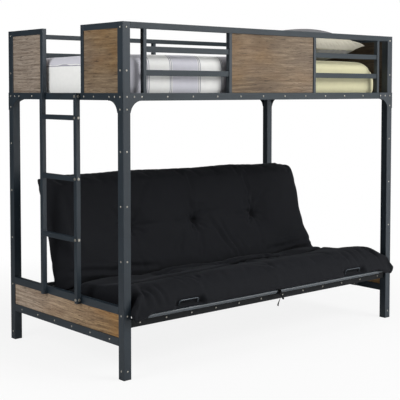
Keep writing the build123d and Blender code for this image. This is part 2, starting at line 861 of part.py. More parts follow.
with BuildPart() as seat_mesh:
    wire_mesh(seat_view, rear_tube_offset, front_tube_u, deck_tube / 2, front_tube / 2, seat_cross_wire_count)
finish(seat_mesh, "seat_mesh")

with BuildPart() as back_mesh:
    wire_mesh(back_view, rear_tube_offset, back_tube_reach, deck_tube / 2, deck_tube / 2, seat_cross_wire_count)
finish(back_mesh, "back_mesh")


# Hinge brackets on the seat, and levers on the back that turn on their pins
def strap(view, near, thickness, start, end):
    """Add a flat strap with round ends, between two places along a deck."""
    with BuildSketch(view.offset(near)) as outline:
        with Locations(((start + end) / 2, 0)):
            SlotCenterToCenter(abs(end - start), 2 * bracket_half_width)
    extrude(outline.sketch, amount=thickness)


with BuildPart() as seat_hinge_brackets:
    strap(seat_view, bracket_x, bracket_thickness, 0, rear_tube_offset)
    disc(seat_view, bracket_x + bracket_thickness, pin_end_x, 0, 0, pin_radius)
    mirror(about=section)
finish(seat_hinge_brackets, "seat_hinge_brackets")

with BuildPart() as fold_levers:
    strap(back_view, lever_x, bracket_thickness, -lever_reach, rear_tube_offset)
    disc(back_view, lever_x, lever_out_x, 0, 0, pin_radius + pin_clearance, Mode.SUBTRACT)
    disc(back_view, lever_out_x, pin_end_x, -lever_reach, 0, pin_radius)
    mirror(about=section)
finish(fold_levers, "fold_levers")


def flanged_bush(view, place):
    """Add a bush on a pin, with its flange outside the guide plate."""
    disc(view, bush_x, bush_flange_x, place, 0, bush_radius)
    disc(view, bush_flange_x, pin_end_x, place, 0, bush_flange_radius)
    disc(view, bush_x, pin_end_x, place, 0, pin_radius, Mode.SUBTRACT)
    mirror(about=section)


with BuildPart() as hinge_bushes:
    flanged_bush(seat_view, 0)
finish(hinge_bushes, "hinge_bushes")

with BuildPart() as lever_bushes:
    flanged_bush(back_view, -lever_reach)
finish(lever_bushes, "lever_bushes")


# Sofa pad: a crowned seat and back, cut apart on the plane that halves the fold
def pad_face(view, station, length, low, crest):
    """Draw a pad's outline across the bed at one station along it."""
    nose_top = low + (crest - low) * pad_nose_share
    fold_top = low + (crest - low) * pad_fold_share
    fold_foot = (low / fold_slope + fold_gap, low)
    fold_crown = (fold_top / fold_slope + fold_gap, fold_top)
    nose_foot = (length - pad_nose, low)
    nose_crown = (length - pad_nose, nose_top)
    with BuildSketch(view.offset(station)) as outline:
        with BuildLine():
            Line(fold_foot, nose_foot)
            ThreePointArc(nose_foot, (length, (low + nose_top) / 2), nose_crown)
            ThreePointArc(nose_crown, (length * pad_crest_place_share, crest), fold_crown)
            Line(fold_crown, fold_foot)
        make_face()
    return outline.sketch


def pad_faces(view, length, base):
    """Draw a pad's outlines from one end of the bed to the other."""
    rows = list(zip(pad_station_shares, pad_low_shares, pad_crest_shares, pad_length_shares))
    places = [(-row[0],) + row[1:] for row in reversed(rows)] + rows[1:]
    faces = []
    for station, low, crest, reach in places:
        faces.append(
            pad_face(
                view, station * pad_half_width, length * reach,
                base + pad_thickness * low, base + pad_thickness * crest,
            )
        )
    return faces


def tuft_row(view, place, crest):
    """Press a row of sewn tufts into a pad, at a place along it."""
    for number in (-1, 0, 1):
        with Locations(view.offset(number * tuft_spacing) * Pos(place, crest + tuft_radius - tuft_depth)):
            Sphere(tuft_radius, mode=Mode.SUBTRACT)


def wing_face(station, low, high, reach):
    """Draw the seat pad's front roll where it passes in front of a post."""
    back_u = hinge_y + half_depth + wing_gap
    with BuildSketch(seat_view.offset(station)) as outline:
        with BuildLine():
            ThreePointArc((back_u, low), (reach, (low + high) / 2), (back_u, high))
            Line((back_u, high), (back_u, low))
        make_face()
    return outline.sketch


wing_run = wing_half_width - pad_half_width + wing_root
seat_base = front_tube / 2 + running_gap
back_base = deck_tube / 2 + running_gap
with BuildPart() as seat_pad:
    loft(pad_faces(seat_view, seat_pad_length, seat_base), ruled=True)
    for side in (-1, 1):
        faces = []
        rows = zip(wing_station_shares, wing_low_shares, wing_high_shares, wing_reach_shares)
        for station, low, high, reach in rows:
            faces.append(
                wing_face(
                    side * (wing_half_width - wing_run * station), seat_base + pad_thickness * low,
                    seat_base + pad_thickness * high, seat_pad_length * reach,
                )
            )
        loft(faces, ruled=True)
    tuft_row(seat_view, seat_pad_length / 2, seat_base + pad_thickness)
    pocket_top = deck_height + front_tube / 2 + hoop_height + hoop_clearance
    for side_x in (-1, 1):
        block_up(
            side_x * hoop_x, front_tube_y - front_tube, deck_height, pocket_top,
            hoop_width + 2 * hoop_clearance, 2 * front_tube, mode=Mode.SUBTRACT,
        )
    tie_hollow = front_tube / 2 + weld_gap + tie_thickness + running_gap
    disc(
        seat_view, -tie_x - tie_band_width / 2 - running_gap, -tie_x + tie_band_width / 2 + running_gap,
        front_tube_u, 0, tie_hollow, Mode.SUBTRACT,
    )
finish(seat_pad, "seat_pad")

with BuildPart() as back_pad:
    loft(pad_faces(back_view, back_pad_length, back_base), ruled=True)
    tuft_row(back_view, back_tuft_reach, back_base + pad_thickness)
finish(back_pad, "back_pad")

# Wire hoops that stand on the seat's front tube, leaning forward
hoop_lean = radians(hoop_angle)
hoop_view = Plane(
    origin=(frame_x, frame_y + front_tube_y, deck_height),
    x_dir=(1, 0, 0), z_dir=(0, -sin(hoop_lean), -cos(hoop_lean)),
)
hoop_foot = front_tube / 2
hoop_reach = hoop_foot + hoop_height - hoop_wire / 2
leg_half = (hoop_width - hoop_wire) / 2
with BuildPart() as pad_hoops:
    for side_x in (-1, 1):
        mid = side_x * hoop_x
        with BuildLine(hoop_view) as route:
            FilletPolyline(
                (mid - leg_half, hoop_foot), (mid - leg_half, hoop_reach),
                (mid + leg_half, hoop_reach), (mid + leg_half, hoop_foot),
                radius=hoop_bend,
            )
        with BuildSketch(Plane(origin=route.line @ 0, z_dir=route.line % 0)) as outline:
            Circle(hoop_wire / 2)
        sweep(outline.sketch, path=route.line)
finish(pad_hoops, "pad_hoops")


# Cloth tie: a band round the seat's front tube, a knot and two tails
def tie_tail(reach, spread):
    """Hang a flat tail below the knot, bending out to one side."""
    knot_foot = deck_height - tie_knot_height / 2
    tail_y = front_tube_y - front_tube / 2 - tie_thickness - tie_knot_height / 4
    near = (tie_x - tie_tail_width / 2, knot_foot)
    with BuildSketch(elevation.offset(-tail_y)) as outline:
        with BuildLine():
            ThreePointArc(near, (tie_x + spread / 4 - tie_tail_width / 2, knot_foot - reach / 2),
                          (tie_x + spread - tie_tail_width / 2, knot_foot - reach))
            Line((tie_x + spread - tie_tail_width / 2, knot_foot - reach),
                 (tie_x + spread + tie_tail_width / 2, knot_foot - reach))
            ThreePointArc((tie_x + spread + tie_tail_width / 2, knot_foot - reach),
                          (tie_x + spread / 4 + tie_tail_width / 2, knot_foot - reach / 2),
                          (tie_x + tie_tail_width / 2, knot_foot))
            Line((tie_x + tie_tail_width / 2, knot_foot), near)
        make_face()
    extrude(outline.sketch, amount=tie_thickness)


tie_inner = front_tube / 2 + weld_gap
tie_outer = tie_inner + tie_thickness
with BuildPart() as pad_tie:
    disc(seat_view, -tie_x - tie_band_width / 2, -tie_x + tie_band_width / 2, front_tube_u, 0, tie_outer)
    disc(
        seat_view, -tie_x - tie_band_width / 2, -tie_x + tie_band_width / 2, front_tube_u, 0,
        tie_inner, Mode.SUBTRACT,
    )
    with BuildSketch(elevation.offset(-front_tube_y + tie_inner + tie_thickness / 4)) as knot:
        with Locations((tie_x, deck_height)):
            RectangleRounded(tie_knot_width, tie_knot_height, tie_knot_height / 3)
    extrude(knot.sketch, amount=tie_knot_height / 2)
    tie_tail(long_tail, -tail_spread)
    tie_tail(short_tail, tail_spread)
finish(pad_tie, "pad_tie")


# Mattress, sheet and blanket on the slats
def slab_face(station, half_width, low, high):
    """Draw a mattress outline across the bed at one station along it."""
    foot = half_width * slab_foot_share
    side_z = low + (high - low) * slab_side_share
    shoulder_z = low + (high - low) * slab_shoulder_share
    with BuildSketch(section.offset(station)) as outline:
        with BuildLine():
            Line((-foot, low), (foot, low))
            ThreePointArc((foot, low), (half_width, side_z), (foot, shoulder_z))
            ThreePointArc((foot, shoulder_z), (0, high), (-foot, shoulder_z))
            ThreePointArc((-foot, shoulder_z), (-half_width, side_z), (-foot, low))
        make_face()
    return outline.sketch


def slab(grow, low, high, mode=Mode.ADD):
    """Add a mattress shape, grown on its ends, sides and top by a margin."""
    rows = list(zip(slab_station_shares, slab_low_shares, slab_high_shares, slab_width_shares))
    places = [(-row[0],) + row[1:] for row in reversed(rows)] + rows[1:]
    faces = []
    for station, low_share, high_share, width in places:
        faces.append(
            slab_face(
                mattress_shift + station * (mattress_half_length + grow),
                mattress_half_width * width + grow,
                low + (high - low) * low_share, low + (high - low) * high_share + grow,
            )
        )
    loft(faces, ruled=True, mode=mode)


def cover(gap, thickness, hem, end_x):
    """Add a cloth over the mattress, open below, that ends at a place along the bed."""
    slab(gap + thickness, mattress_low, mattress_high)
    slab(gap, mattress_low, mattress_high, Mode.SUBTRACT)
    block_up(
        0, 0, mattress_low - thickness, mattress_low + hem,
        bed_length, bed_depth, mode=Mode.SUBTRACT,
    )
    if end_x < mattress_half_length:
        block_up(
            end_x + half_length, 0, mattress_low - thickness, bed_height,
            bed_length, bed_depth, mode=Mode.SUBTRACT,
        )


mattress_low = slat_top + running_gap
mattress_high = mattress_low + mattress_thickness
with BuildPart() as upper_mattress:
    slab(0, mattress_low, mattress_high)
finish(upper_mattress, "upper_mattress")

with BuildPart() as fitted_sheet:
    cover(cover_gap, sheet_thickness, sheet_hem, half_length)
finish(fitted_sheet, "fitted_sheet")

blanket_inner = 2 * cover_gap + sheet_thickness
with BuildPart() as blanket:
    cover(blanket_inner, blanket_thickness, blanket_hem, blanket_end_x)
finish(blanket, "blanket")


# Pillows at the right end, one lying on the other
def pillow(x, y, low, thickness):
    """Add a pillow that lies across the bed."""
    rows = list(zip(pillow_station_shares, pillow_low_shares, pillow_high_shares, pillow_width_shares))
    places = [(-row[0],) + row[1:] for row in reversed(rows)] + rows[1:]
    faces = []
    for station, low_share, high_share, width in places:
        half_width = pillow_width * width / 2
        seam = low + thickness / 2
        with BuildSketch(elevation.offset(-y + station * pillow_length / 2)) as outline:
            with BuildLine():
                ThreePointArc((x - half_width, seam), (x, low + thickness * high_share), (x + half_width, seam))
                ThreePointArc((x + half_width, seam), (x, low + thickness * low_share), (x - half_width, seam))
            make_face()
        faces.append(outline.sketch)
    loft(faces, ruled=True)


lower_pillow_x = half_length - lower_pillow_inset
upper_pillow_x = half_length - upper_pillow_inset
pillow_low = mattress_high + cover_gap + sheet_thickness + running_gap - lower_pillow_settle
with BuildPart() as lower_pillow:
    pillow(lower_pillow_x, lower_pillow_y, pillow_low, lower_pillow_thickness)
finish(lower_pillow, "lower_pillow")

with BuildPart() as upper_pillow:
    upper_pillow_low = pillow_low + lower_pillow_thickness - upper_pillow_settle
    pillow(upper_pillow_x, upper_pillow_y, upper_pillow_low, upper_pillow_thickness)
finish(upper_pillow, "upper_pillow")
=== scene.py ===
# Looks for the bunk over a folding sofa. Metres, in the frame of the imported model.
# +X runs along the bed away from the ladder, +Y to the back, +Z up.
import math

import bmesh
import bpy
import numpy as np
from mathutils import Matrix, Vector, noise
from mathutils.bvhtree import BVHTree


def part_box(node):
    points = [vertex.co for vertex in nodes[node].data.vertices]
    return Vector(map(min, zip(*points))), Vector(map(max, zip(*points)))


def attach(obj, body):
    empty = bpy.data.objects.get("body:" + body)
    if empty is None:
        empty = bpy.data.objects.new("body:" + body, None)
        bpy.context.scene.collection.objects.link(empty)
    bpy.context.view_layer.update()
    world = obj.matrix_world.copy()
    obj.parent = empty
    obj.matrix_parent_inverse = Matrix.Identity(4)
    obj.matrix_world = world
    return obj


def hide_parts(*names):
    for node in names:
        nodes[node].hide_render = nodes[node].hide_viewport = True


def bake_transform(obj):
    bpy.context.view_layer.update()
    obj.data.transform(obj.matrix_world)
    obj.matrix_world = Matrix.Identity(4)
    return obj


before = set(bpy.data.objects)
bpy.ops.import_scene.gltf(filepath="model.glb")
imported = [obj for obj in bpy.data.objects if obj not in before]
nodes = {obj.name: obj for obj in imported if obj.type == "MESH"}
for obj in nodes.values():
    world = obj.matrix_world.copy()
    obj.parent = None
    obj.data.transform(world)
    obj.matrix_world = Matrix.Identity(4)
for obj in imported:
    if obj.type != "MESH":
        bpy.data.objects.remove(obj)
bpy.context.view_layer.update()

# The middle between the posts, the hinge of the sofa, the angle from its seat to its back, and the
# front faces of the posts
MID = Vector((0.01225, 0.0235, 0.0))
HINGE = Vector((MID.x, MID.y + 0.18, 0.2973))
BACK_ANGLE = math.radians(72)
BACK_COS, BACK_SIN = math.cos(BACK_ANGLE), math.sin(BACK_ANGLE)
POST_FRONT = MID.y - 0.5335


# Materials
def srgb(r, g, b):
    """A colour written as 0 to 255, as the renderer's linear values."""
    out = []
    for value in (r, g, b):
        value /= 255
        out.append(value / 12.92 if value <= 0.04045 else ((value + 0.055) / 1.055) ** 2.4)
    return (*out, 1.0)


def times(colour, factors):
    """A colour written as 0 to 255 times one factor, or one for each channel, as linear values."""
    return srgb(*np.multiply(colour, factors).tolist())


class Nodes:
    """Adds nodes to the emptied node tree of a material or a world."""

    def __init__(self, owner):
        owner.use_nodes = True
        self.tree = owner.node_tree
        self.tree.nodes.clear()

    def node(self, kind, inputs=None, **settings):
        made = self.tree.nodes.new(kind)
        for key, value in settings.items():
            setattr(made, key, value)
        for key, value in (inputs or {}).items():
            self.set(made.inputs[key], value)
        return made

    def set(self, socket, value):
        if isinstance(value, bpy.types.NodeSocket):
            self.tree.links.new(value, socket)
        else:
            socket.default_value = value

    def math(self, operation, a, b=0.0):
        return self.node("ShaderNodeMath", {0: a, 1: b}, operation=operation).outputs[0]


class Shader(Nodes):
    """Builds one node material. place is the point that is shaded, in the object's own metres."""

    def __init__(self, name):
        self.material = bpy.data.materials.new(name)
        super().__init__(self.material)
        self.surface = self.node("ShaderNodeBsdfPrincipled")
        self.output = self.node("ShaderNodeOutputMaterial", {"Surface": self.surface.outputs[0]})
        self.place = self.node("ShaderNodeTexCoord").outputs["Object"]

    def put(self, **values):
        for key, value in values.items():
            self.set(self.surface.inputs[key.replace("_", " ")], value)

    def scaled(self, scale, turn=(0, 0, 0)):
        inputs = {"Vector": self.place, "Scale": scale, "Rotation": turn}
        return self.node("ShaderNodeMapping", inputs).outputs[0]

    def noise(self, vector, scale=1.0, detail=4.0, rough=0.55, warp=0.0):
        inputs = {"Vector": vector, "Scale": scale, "Detail": detail, "Roughness": rough, "Distortion": warp}
        return self.node("ShaderNodeTexNoise", inputs).outputs["Fac"]

    def ramp(self, value, stops):
        made = self.node("ShaderNodeValToRGB", {"Fac": value})
        band = made.color_ramp
        while len(band.elements) < len(stops):
            band.elements.new(0.5)
        for element, (position, colour) in zip(band.elements, stops):
            element.position = position
            element.color = colour
        return made.outputs["Color"]

    def range(self, value, low, high, to_low, to_high):
        inputs = {"Value": value, "From Min": low, "From Max": high, "To Min": to_low, "To Max": to_high}
        return self.node("ShaderNodeMapRange", inputs).outputs[0]

    def mix(self, factor, a, b, blend="MIX"):
        made = self.node("ShaderNodeMix", data_type="RGBA", blend_type=blend)
        self.set(made.inputs[0], factor)
        self.set(made.inputs[6], a)
        self.set(made.inputs[7], b)
        return made.outputs[2]

    def split(self):
        return self.node("ShaderNodeSeparateXYZ", {0: self.place}).outputs[:3]

    def bump(self, height, strength, distance, normal=None):
        inputs = {"Height": height, "Strength": strength, "Distance": distance}
        if normal is not None:
            inputs["Normal"] = normal
        return self.node("ShaderNodeBump", inputs).outputs[0]


def painted_steel(name, axis, base=(38, 48, 56), rough=0.40, shine=0.5):
    """Dark slate paint on tube, with faint streaks along it and a fine orange peel."""
    s = Shader(name)
    stretch = {"x": (3, 260, 260), "y": (260, 3, 260), "z": (260, 260, 3)}[axis]
    streak = s.noise(s.scaled(stretch), 1.0, 5.0, 0.6)
    cloud = s.noise(s.place, 7.0, 3.0, 0.5)
    peel = s.noise(s.place, 900.0, 2.0, 0.5)
    dark, light = times(base, (0.80, 0.80, 0.81)), times(base, (1.17, 1.16, 1.15))
    tone = s.math("ADD", s.math("MULTIPLY", streak, 0.55), s.math("MULTIPLY", cloud, 0.45))
    relief = s.math("ADD", peel, s.math("MULTIPLY", streak, 0.6))
    s.put(
        Base_Color=s.ramp(tone, [(0.30, dark), (0.52, srgb(*base)), (0.74, light)]),
        Roughness=s.range(streak, 0.3, 0.7, rough - 0.06, rough + 0.08),
        Metallic=0.12,
        Specular_IOR_Level=shine,
        Normal=s.bump(relief, 0.10, 0.0004),
    )
    return s.material


def bright_steel(name, base=(190, 186, 176)):
    """Zinc plated steel of rivets, bolts and hinge straps."""
    s = Shader(name)
    grain = s.noise(s.place, 420.0, 4.0, 0.6)
    s.put(
        Base_Color=s.ramp(grain, [(0.3, times(base, 0.78)), (0.7, srgb(*base))]),
        Metallic=0.85,
        Roughness=s.range(grain, 0.3, 0.7, 0.28, 0.42),
        Normal=s.bump(grain, 0.08, 0.0003),
    )
    return s.material


def plastic(name):
    """Black moulded plastic with a fine spark-eroded texture."""
    s = Shader(name)
    spark = s.noise(s.place, 1600.0, 2.0, 0.6)
    black = (28, 29, 31)
    dark, light = times(black, 0.85), times(black, 1.15)
    s.put(
        Base_Color=s.ramp(spark, [(0.35, dark), (0.65, light)]),
        Roughness=s.range(spark, 0.3, 0.7, 0.5, 0.62),
        Normal=s.bump(spark, 0.12, 0.0003),
    )
    return s.material


def rustic_wood(name, axis, tint, shift, greying):
    """Weathered board with its grain along axis: uneven stain, long grain, dark pores, dashes, fine
    splits and knots. shift moves the pattern along the board. greying is where along it the grey
    wear begins and where it is full, and how strong it is there."""
    s = Shader(name)
    x, y, z = s.split()
    place_along = {"x": x, "y": y}[axis]
    along = s.math("ADD", place_along, shift)

    def board(along_scale, height_scale, lift=0.0):
        """The pattern's place on the board, stretched along the grain."""
        height = s.math("ADD", z, lift) if lift else z
        place = s.node("ShaderNodeCombineXYZ", {0: along, 1: height, 2: 0.0}).outputs[0]
        inputs = {"Vector": place, "Scale": (along_scale, height_scale, 1.0)}
        return s.node("ShaderNodeMapping", inputs).outputs[0]

    def tinted(*colour):
        return times(colour, tint)

    def greyed(*colour):
        return times(colour, tint[0])

    sway = s.math("MULTIPLY", s.math("SUBTRACT", s.noise(board(1.3, 3.0), 1.0, 2.0), 0.5), 0.06)
    stain = s.noise(board(2.6, 7.5), 1.0, 4.0, 0.6, 0.4)
    warmth = s.noise(board(1.7, 4.2, 5.3), 1.0, 3.0, 0.5)
    bleach = s.noise(board(1.2, 2.9, 7.7), 1.0, 3.0, 0.5)
    grain = s.noise(board(4.2, 92.0, sway), 1.0, 6.0, 0.66)
    fibre = s.noise(board(16.0, 560.0, sway), 1.0, 4.0, 0.7)
    pores = s.noise(board(38.0, 430.0, sway), 1.0, 2.0, 0.5)
    dashes = s.noise(board(11.0, 175.0, sway), 1.0, 2.0, 0.45)
    split = s.noise(board(3.2, 62.0, sway), 1.0, 3.0, 0.5)
    knots = s.node("ShaderNodeTexVoronoi", {"Vector": board(2.3, 5.2, 2.1), "Scale": 1.0}).outputs["Distance"]
    tone = s.math("ADD", s.math("MULTIPLY", grain, 0.62), s.math("MULTIPLY", fibre, 0.38))
    crack = s.range(s.math("ABSOLUTE", s.math("SUBTRACT", split, 0.5)), 0.0, 0.011, 0.62, 0.0)
    start, full, share = greying
    bleached = s.range(bleach, 0.50, 0.66, 0.0, 0.30)
    worn = s.math("MAXIMUM", s.range(place_along, start, full, 0.0, share), bleached)
    brown = s.ramp(tone, [
        (0.35, tinted(78, 61, 46)), (0.44, tinted(113, 94, 75)),
        (0.54, tinted(143, 124, 102)), (0.64, tinted(174, 156, 132)),
    ])
    greys = [(0.38, greyed(122, 107, 94)), (0.49, greyed(164, 150, 137)), (0.62, greyed(196, 183, 170))]
    grey = s.ramp(tone, greys)
    colour = s.mix(s.range(stain, 0.46, 0.63, 0.0, 0.55), brown, tinted(92, 72, 52))
    colour = s.mix(s.range(warmth, 0.48, 0.65, 0.0, 0.50), colour, tinted(154, 116, 66))
    colour = s.mix(worn, colour, grey)
    colour = s.mix(s.range(pores, 0.58, 0.68, 0.0, 0.50), colour, tinted(62, 47, 34))
    colour = s.mix(s.range(dashes, 0.63, 0.70, 0.0, 0.80), colour, tinted(40, 29, 21))
    colour = s.mix(crack, colour, tinted(48, 36, 27))
    colour = s.mix(s.range(knots, 0.02, 0.10, 0.5, 0.0), colour, tinted(50, 36, 26))
    relief = s.math("SUBTRACT", s.math("MULTIPLY", tone, 0.8), s.math("MULTIPLY", crack, 0.5))
    s.put(
        Base_Color=colour,
        Roughness=s.range(tone, 0.4, 0.6, 0.60, 0.76),
        Specular_IOR_Level=0.35,
        Normal=s.bump(relief, 0.40, 0.0014),
    )
    return s.material


def woven(
    name, colour_of, thread, rough=0.85, sheen=0.15, sheen_tint=(1, 1, 1, 1),
    crease=0.25, weave=0.12, shade=0.0,
):
    """Cloth with crossed threads, soft mottling and small creases. colour_of makes its colour, and shade is
    how dark the painted shade in its folds gets, where ambient occlusion darkens the colour."""
    s = Shader(name)
    waves = []
    for turn in ((0, 0, math.radians(45)), (math.radians(45), 0, math.radians(-45))):
        turned = s.scaled((1, 1, 1), turn)
        inputs = {"Vector": turned, "Scale": thread / 20, "Distortion": 0.6, "Detail": 1.0}
        waves.append(s.node("ShaderNodeTexWave", inputs).outputs["Fac"])
    threads = s.math("MULTIPLY", waves[0], waves[1])
    mottle = s.noise(s.place, 38.0, 4.0, 0.6)
    creases = s.noise(s.place, 11.0, 3.0, 0.5, 1.2)
    base = colour_of(s)
    worn = s.mix(1.0, base, (0.72, 0.72, 0.74, 1), "MULTIPLY")
    colour = s.mix(s.range(mottle, 0.3, 0.7, 0.16, 0.0), base, worn)
    # Painted shade: where ambient occlusion finds the cloth hemmed in by folds, its colour is darkened
    # towards near black
    if shade:
        occlusion = s.node("ShaderNodeAmbientOcclusion", {"Distance": 0.045}, samples=8, only_local=True)
        painted_fold_shade = s.range(occlusion.outputs["AO"], 0.25, 0.80, shade, 0.0)
        colour = s.mix(painted_fold_shade, colour, s.mix(1.0, base, (0.12, 0.12, 0.13, 1), "MULTIPLY"))
    normal = s.bump(creases, crease, 0.004)
    normal = s.bump(mottle, 0.12, 0.0012, normal)
    normal = s.bump(threads, weave, 0.0004, normal)
    s.put(Base_Color=colour, Roughness=rough, Normal=normal, Specular_IOR_Level=0.18)
    s.put(Sheen_Weight=sheen, Sheen_Roughness=0.5, Sheen_Tint=sheen_tint)
    return s.material


def plain(*colour):
    """One colour, very slightly uneven."""
    return lambda s: s.mix(s.noise(s.place, 5.0, 2.0, 0.5), times(colour, 0.95), srgb(*colour))


def dress(material, *names):
    """Give CAD nodes a material in every slot."""
    for name in names:
        for slot in nodes[name].material_slots:
            slot.material = material


steel_x = painted_steel("steel_x", "x", (33, 44, 51), rough=0.42, shine=0.42)
steel_y = painted_steel("steel_y", "y")
steel_z = painted_steel("steel_z", "z")
deck_x = painted_steel("deck_x", "x", (60, 70, 78), rough=0.26, shine=0.9)
deck_y = painted_steel("deck_y", "y", (44, 52, 59), rough=0.32)
# A near black copy of the rail paint: painted shade for the shadow of the futon's lip over the lower side
# rails
steel_painted_shade = painted_steel("steel_painted_shade", "x", (15, 18, 21), rough=0.5, shine=0.22)
rivet_steel = bright_steel("rivet_steel")
strap_steel = bright_steel("strap_steel", (150, 150, 148))
black_plastic = plastic("black_plastic")

dress(steel_z, "post_front_left", "post_front_right", "post_rear_left", "post_rear_right", "post_caps")
dress(steel_z, "front_guard_stiles", "rear_guard_stiles", "left_guard_stiles", "ladder_rails")
dress(steel_z, "corner_gussets")
dress(
    steel_x, "upper_side_rail_front", "upper_side_rail_rear",
    "slat_ledges", "front_guard_rail", "front_guard_bars", "rear_guard_rail", "rear_guard_bars",
)
# Painted shade: the lower side rails get the near black copy of the paint
dress(steel_painted_shade, "lower_side_rail_front", "lower_side_rail_rear")
dress(
    steel_y, "upper_end_rails", "bunk_slats", "left_guard_rails", "right_guard_rail", "panel_top_rails",
    "panel_foot_rails", "ladder_rungs", "guide_plates", "guide_spacers", "rest_brackets",
)
dress(rivet_steel, "rivets", "ladder_bolts", "guide_bolts")
dress(strap_steel, "seat_hinge_brackets", "fold_levers")
dress(black_plastic, "foot_plugs", "glide_pads", "hinge_bushes", "lever_bushes")
dress(deck_x, "seat_front_tube", "seat_rear_tube", "back_lower_tube", "back_top_tube", "pad_hoops")
dress(deck_y, "seat_side_tubes", "back_side_tubes", "seat_mesh", "back_mesh")

# Each board has its axis, tint, shift along the pattern and greying
WOODS = {
    "front_wood_panel": ("wood_front", "x", (0.885, 0.865, 0.815), 0.0, (-0.30, 0.30, 0.30)),
    "left_wood_panels": ("wood_left", "y", (0.92, 0.89, 0.81), 3.7, (-0.20, 0.30, 0.80)),
    # The right panel's dark tint is painted shade: its board is darkened to stand for the shade on its inner
    # face
    "right_wood_panel": ("wood_right_painted_shade", "y", (0.55, 0.53, 0.50), 8.3, (0.0, 1.0, 0.0)),
    "lower_wood_panels": ("wood_foot", "y", (1.17, 1.08, 0.88), 12.9, (-0.45, 0.45, 0.70)),
}
for node_name, look in WOODS.items():
    dress(rustic_wood(*look), node_name)


# Mesh helpers
def smoothstep(value):
    value = np.clip(value, 0.0, 1.0)
    return value * value * (3 - 2 * value)


def link_mesh(name, mesh, material):
    """A smooth shaded object with a mesh and one material."""
    made = bpy.data.objects.new(name, mesh)
    bpy.context.collection.objects.link(made)
    mesh.materials.append(material)
    mesh.polygons.foreach_set("use_smooth", [True] * len(mesh.polygons))
    return made


def new_object(name, points, faces, material):
    mesh = bpy.data.meshes.new(name)
    mesh.from_pydata([tuple(p) for p in points], [], [tuple(int(i) for i in f) for f in faces])
    mesh.update()
    return link_mesh(name, mesh, material)


def apply_modifiers(piece):
    graph = bpy.context.evaluated_depsgraph_get()
    fresh = bpy.data.meshes.new_from_object(piece.evaluated_get(graph), depsgraph=graph)
    old = piece.data
    piece.modifiers.clear()
    piece.data = fresh
    bpy.data.meshes.remove(old)
    return piece


def read_vertices(mesh, field):
    values = np.empty(len(mesh.vertices) * 3)
    mesh.vertices.foreach_get(field, values)
    return values.reshape(-1, 3)


def coordinates(piece):
    return read_vertices(piece.data, "co")


def vertex_normals(piece):
    return read_vertices(piece.data, "normal")


def set_coordinates(piece, points):
    piece.data.vertices.foreach_set("co", np.ascontiguousarray(points, dtype=np.float64).ravel())
    piece.data.update()


# The cloth of the filled pieces
CLOTH_SETTINGS = {
    "quality": 6, "mass": 0.3, "air_damping": 2.0, "use_pressure": True, "bending_stiffness": 0.4,
    "tension_stiffness": 15.0, "compression_stiffness": 15.0, "shear_stiffness": 5.0,
}


def inflate(piece, pinned, pressure, cap, shrink, frames=20):
    """Swell a closed cloth shape that is held at its pinned vertices, moving no point past cap."""
    start = coordinates(piece)
    group = piece.vertex_groups.new(name="held")
    group.add([int(index) for index in pinned], 1.0, "REPLACE")
    cloth = piece.modifiers.new("cloth", "CLOTH")
    for key, value in CLOTH_SETTINGS.items():
        setattr(cloth.settings, key, value)
    cloth.settings.uniform_pressure_force = pressure
    cloth.settings.shrink_min = shrink
    cloth.settings.effector_weights.gravity = 0.0
    cloth.settings.vertex_group_mass = group.name
    cloth.collision_settings.use_collision = False
    scene = bpy.context.scene
    for number in range(1, frames + 1):
        scene.frame_set(number)
    graph = bpy.context.evaluated_depsgraph_get()
    moved = read_vertices(piece.evaluated_get(graph).data, "co") - start
    piece.modifiers.remove(cloth)
    length = np.linalg.norm(moved, axis=1, keepdims=True)
    moved *= np.minimum(1.0, cap / np.maximum(length, 1e-9))
    set_coordinates(piece, start + moved)
    scene.frame_set(1)


def subdivide(piece):
    modifier = piece.modifiers.new("smooth", "SUBSURF")
    modifier.levels = 1
    modifier.render_levels = 1
    return apply_modifiers(piece)


# The camera, solved from the photograph: its place from the middle of the posts, how far it looks
# down, its heading, and its focal length in the photograph's pixels
CAMERA_PLACE = (-3.6655, -4.188, 1.3803)
CAMERA_DOWN = 0.0511
CAMERA_HEADING = -0.7097
FOCAL_PIXELS = 960.92
PHOTO_PIXELS = 400.0
SENSOR_WIDTH = 36.0

camera = bpy.data.objects.new("camera", bpy.data.cameras.new("camera"))
bpy.context.collection.objects.link(camera)
camera.location = (CAMERA_PLACE[0] + MID.x, CAMERA_PLACE[1] + MID.y, CAMERA_PLACE[2])
camera.rotation_euler = (math.radians(90) - CAMERA_DOWN, 0.0, CAMERA_HEADING)
camera.data.sensor_width = SENSOR_WIDTH
camera.data.lens = FOCAL_PIXELS * SENSOR_WIDTH / PHOTO_PIXELS
camera.data.shift_y = -0.15
bpy.context.scene.camera = camera


# Floor, world and lamps
FLOOR_HALF = 30
# The camera sees the floor's shading, and so the object's shadow, up to the first distance, and
# plain white beyond the second
SHADOW_REACH = (1.3, 2.8)
SHADOW_WHITE = 0.87


def build_floor():
    """A plain pale floor that is white to the camera but for the object's shadow."""
    corners = [(x * FLOOR_HALF, y * FLOOR_HALF, 0) for x, y in ((-1, -1), (1, -1), (1, 1), (-1, 1))]
    mesh = bpy.data.meshes.new("floor")
    mesh.from_pydata(corners, [], [(0, 1, 2, 3)])
    floor = bpy.data.objects.new("floor", mesh)
    bpy.context.collection.objects.link(floor)
    s = Shader("floor_pale")
    s.put(Base_Color=(0.86, 0.86, 0.86, 1), Roughness=0.9, Specular_IOR_Level=0.1)
    glow = s.node("ShaderNodeEmission", {"Color": (1, 1, 1, 1), "Strength": 1.0})
    seen = s.node("ShaderNodeLightPath").outputs["Is Camera Ray"]
    distance = s.node("ShaderNodeVectorMath", {0: s.place}, operation="LENGTH").outputs["Value"]
    white = s.math("MULTIPLY", seen, s.range(distance, *SHADOW_REACH, SHADOW_WHITE, 1.0))
    mixed = s.node("ShaderNodeMixShader", {0: white, 1: s.surface.outputs[0], 2: glow.outputs[0]})
    s.set(s.output.inputs["Surface"], mixed.outputs[0])
    mesh.materials.append(s.material)


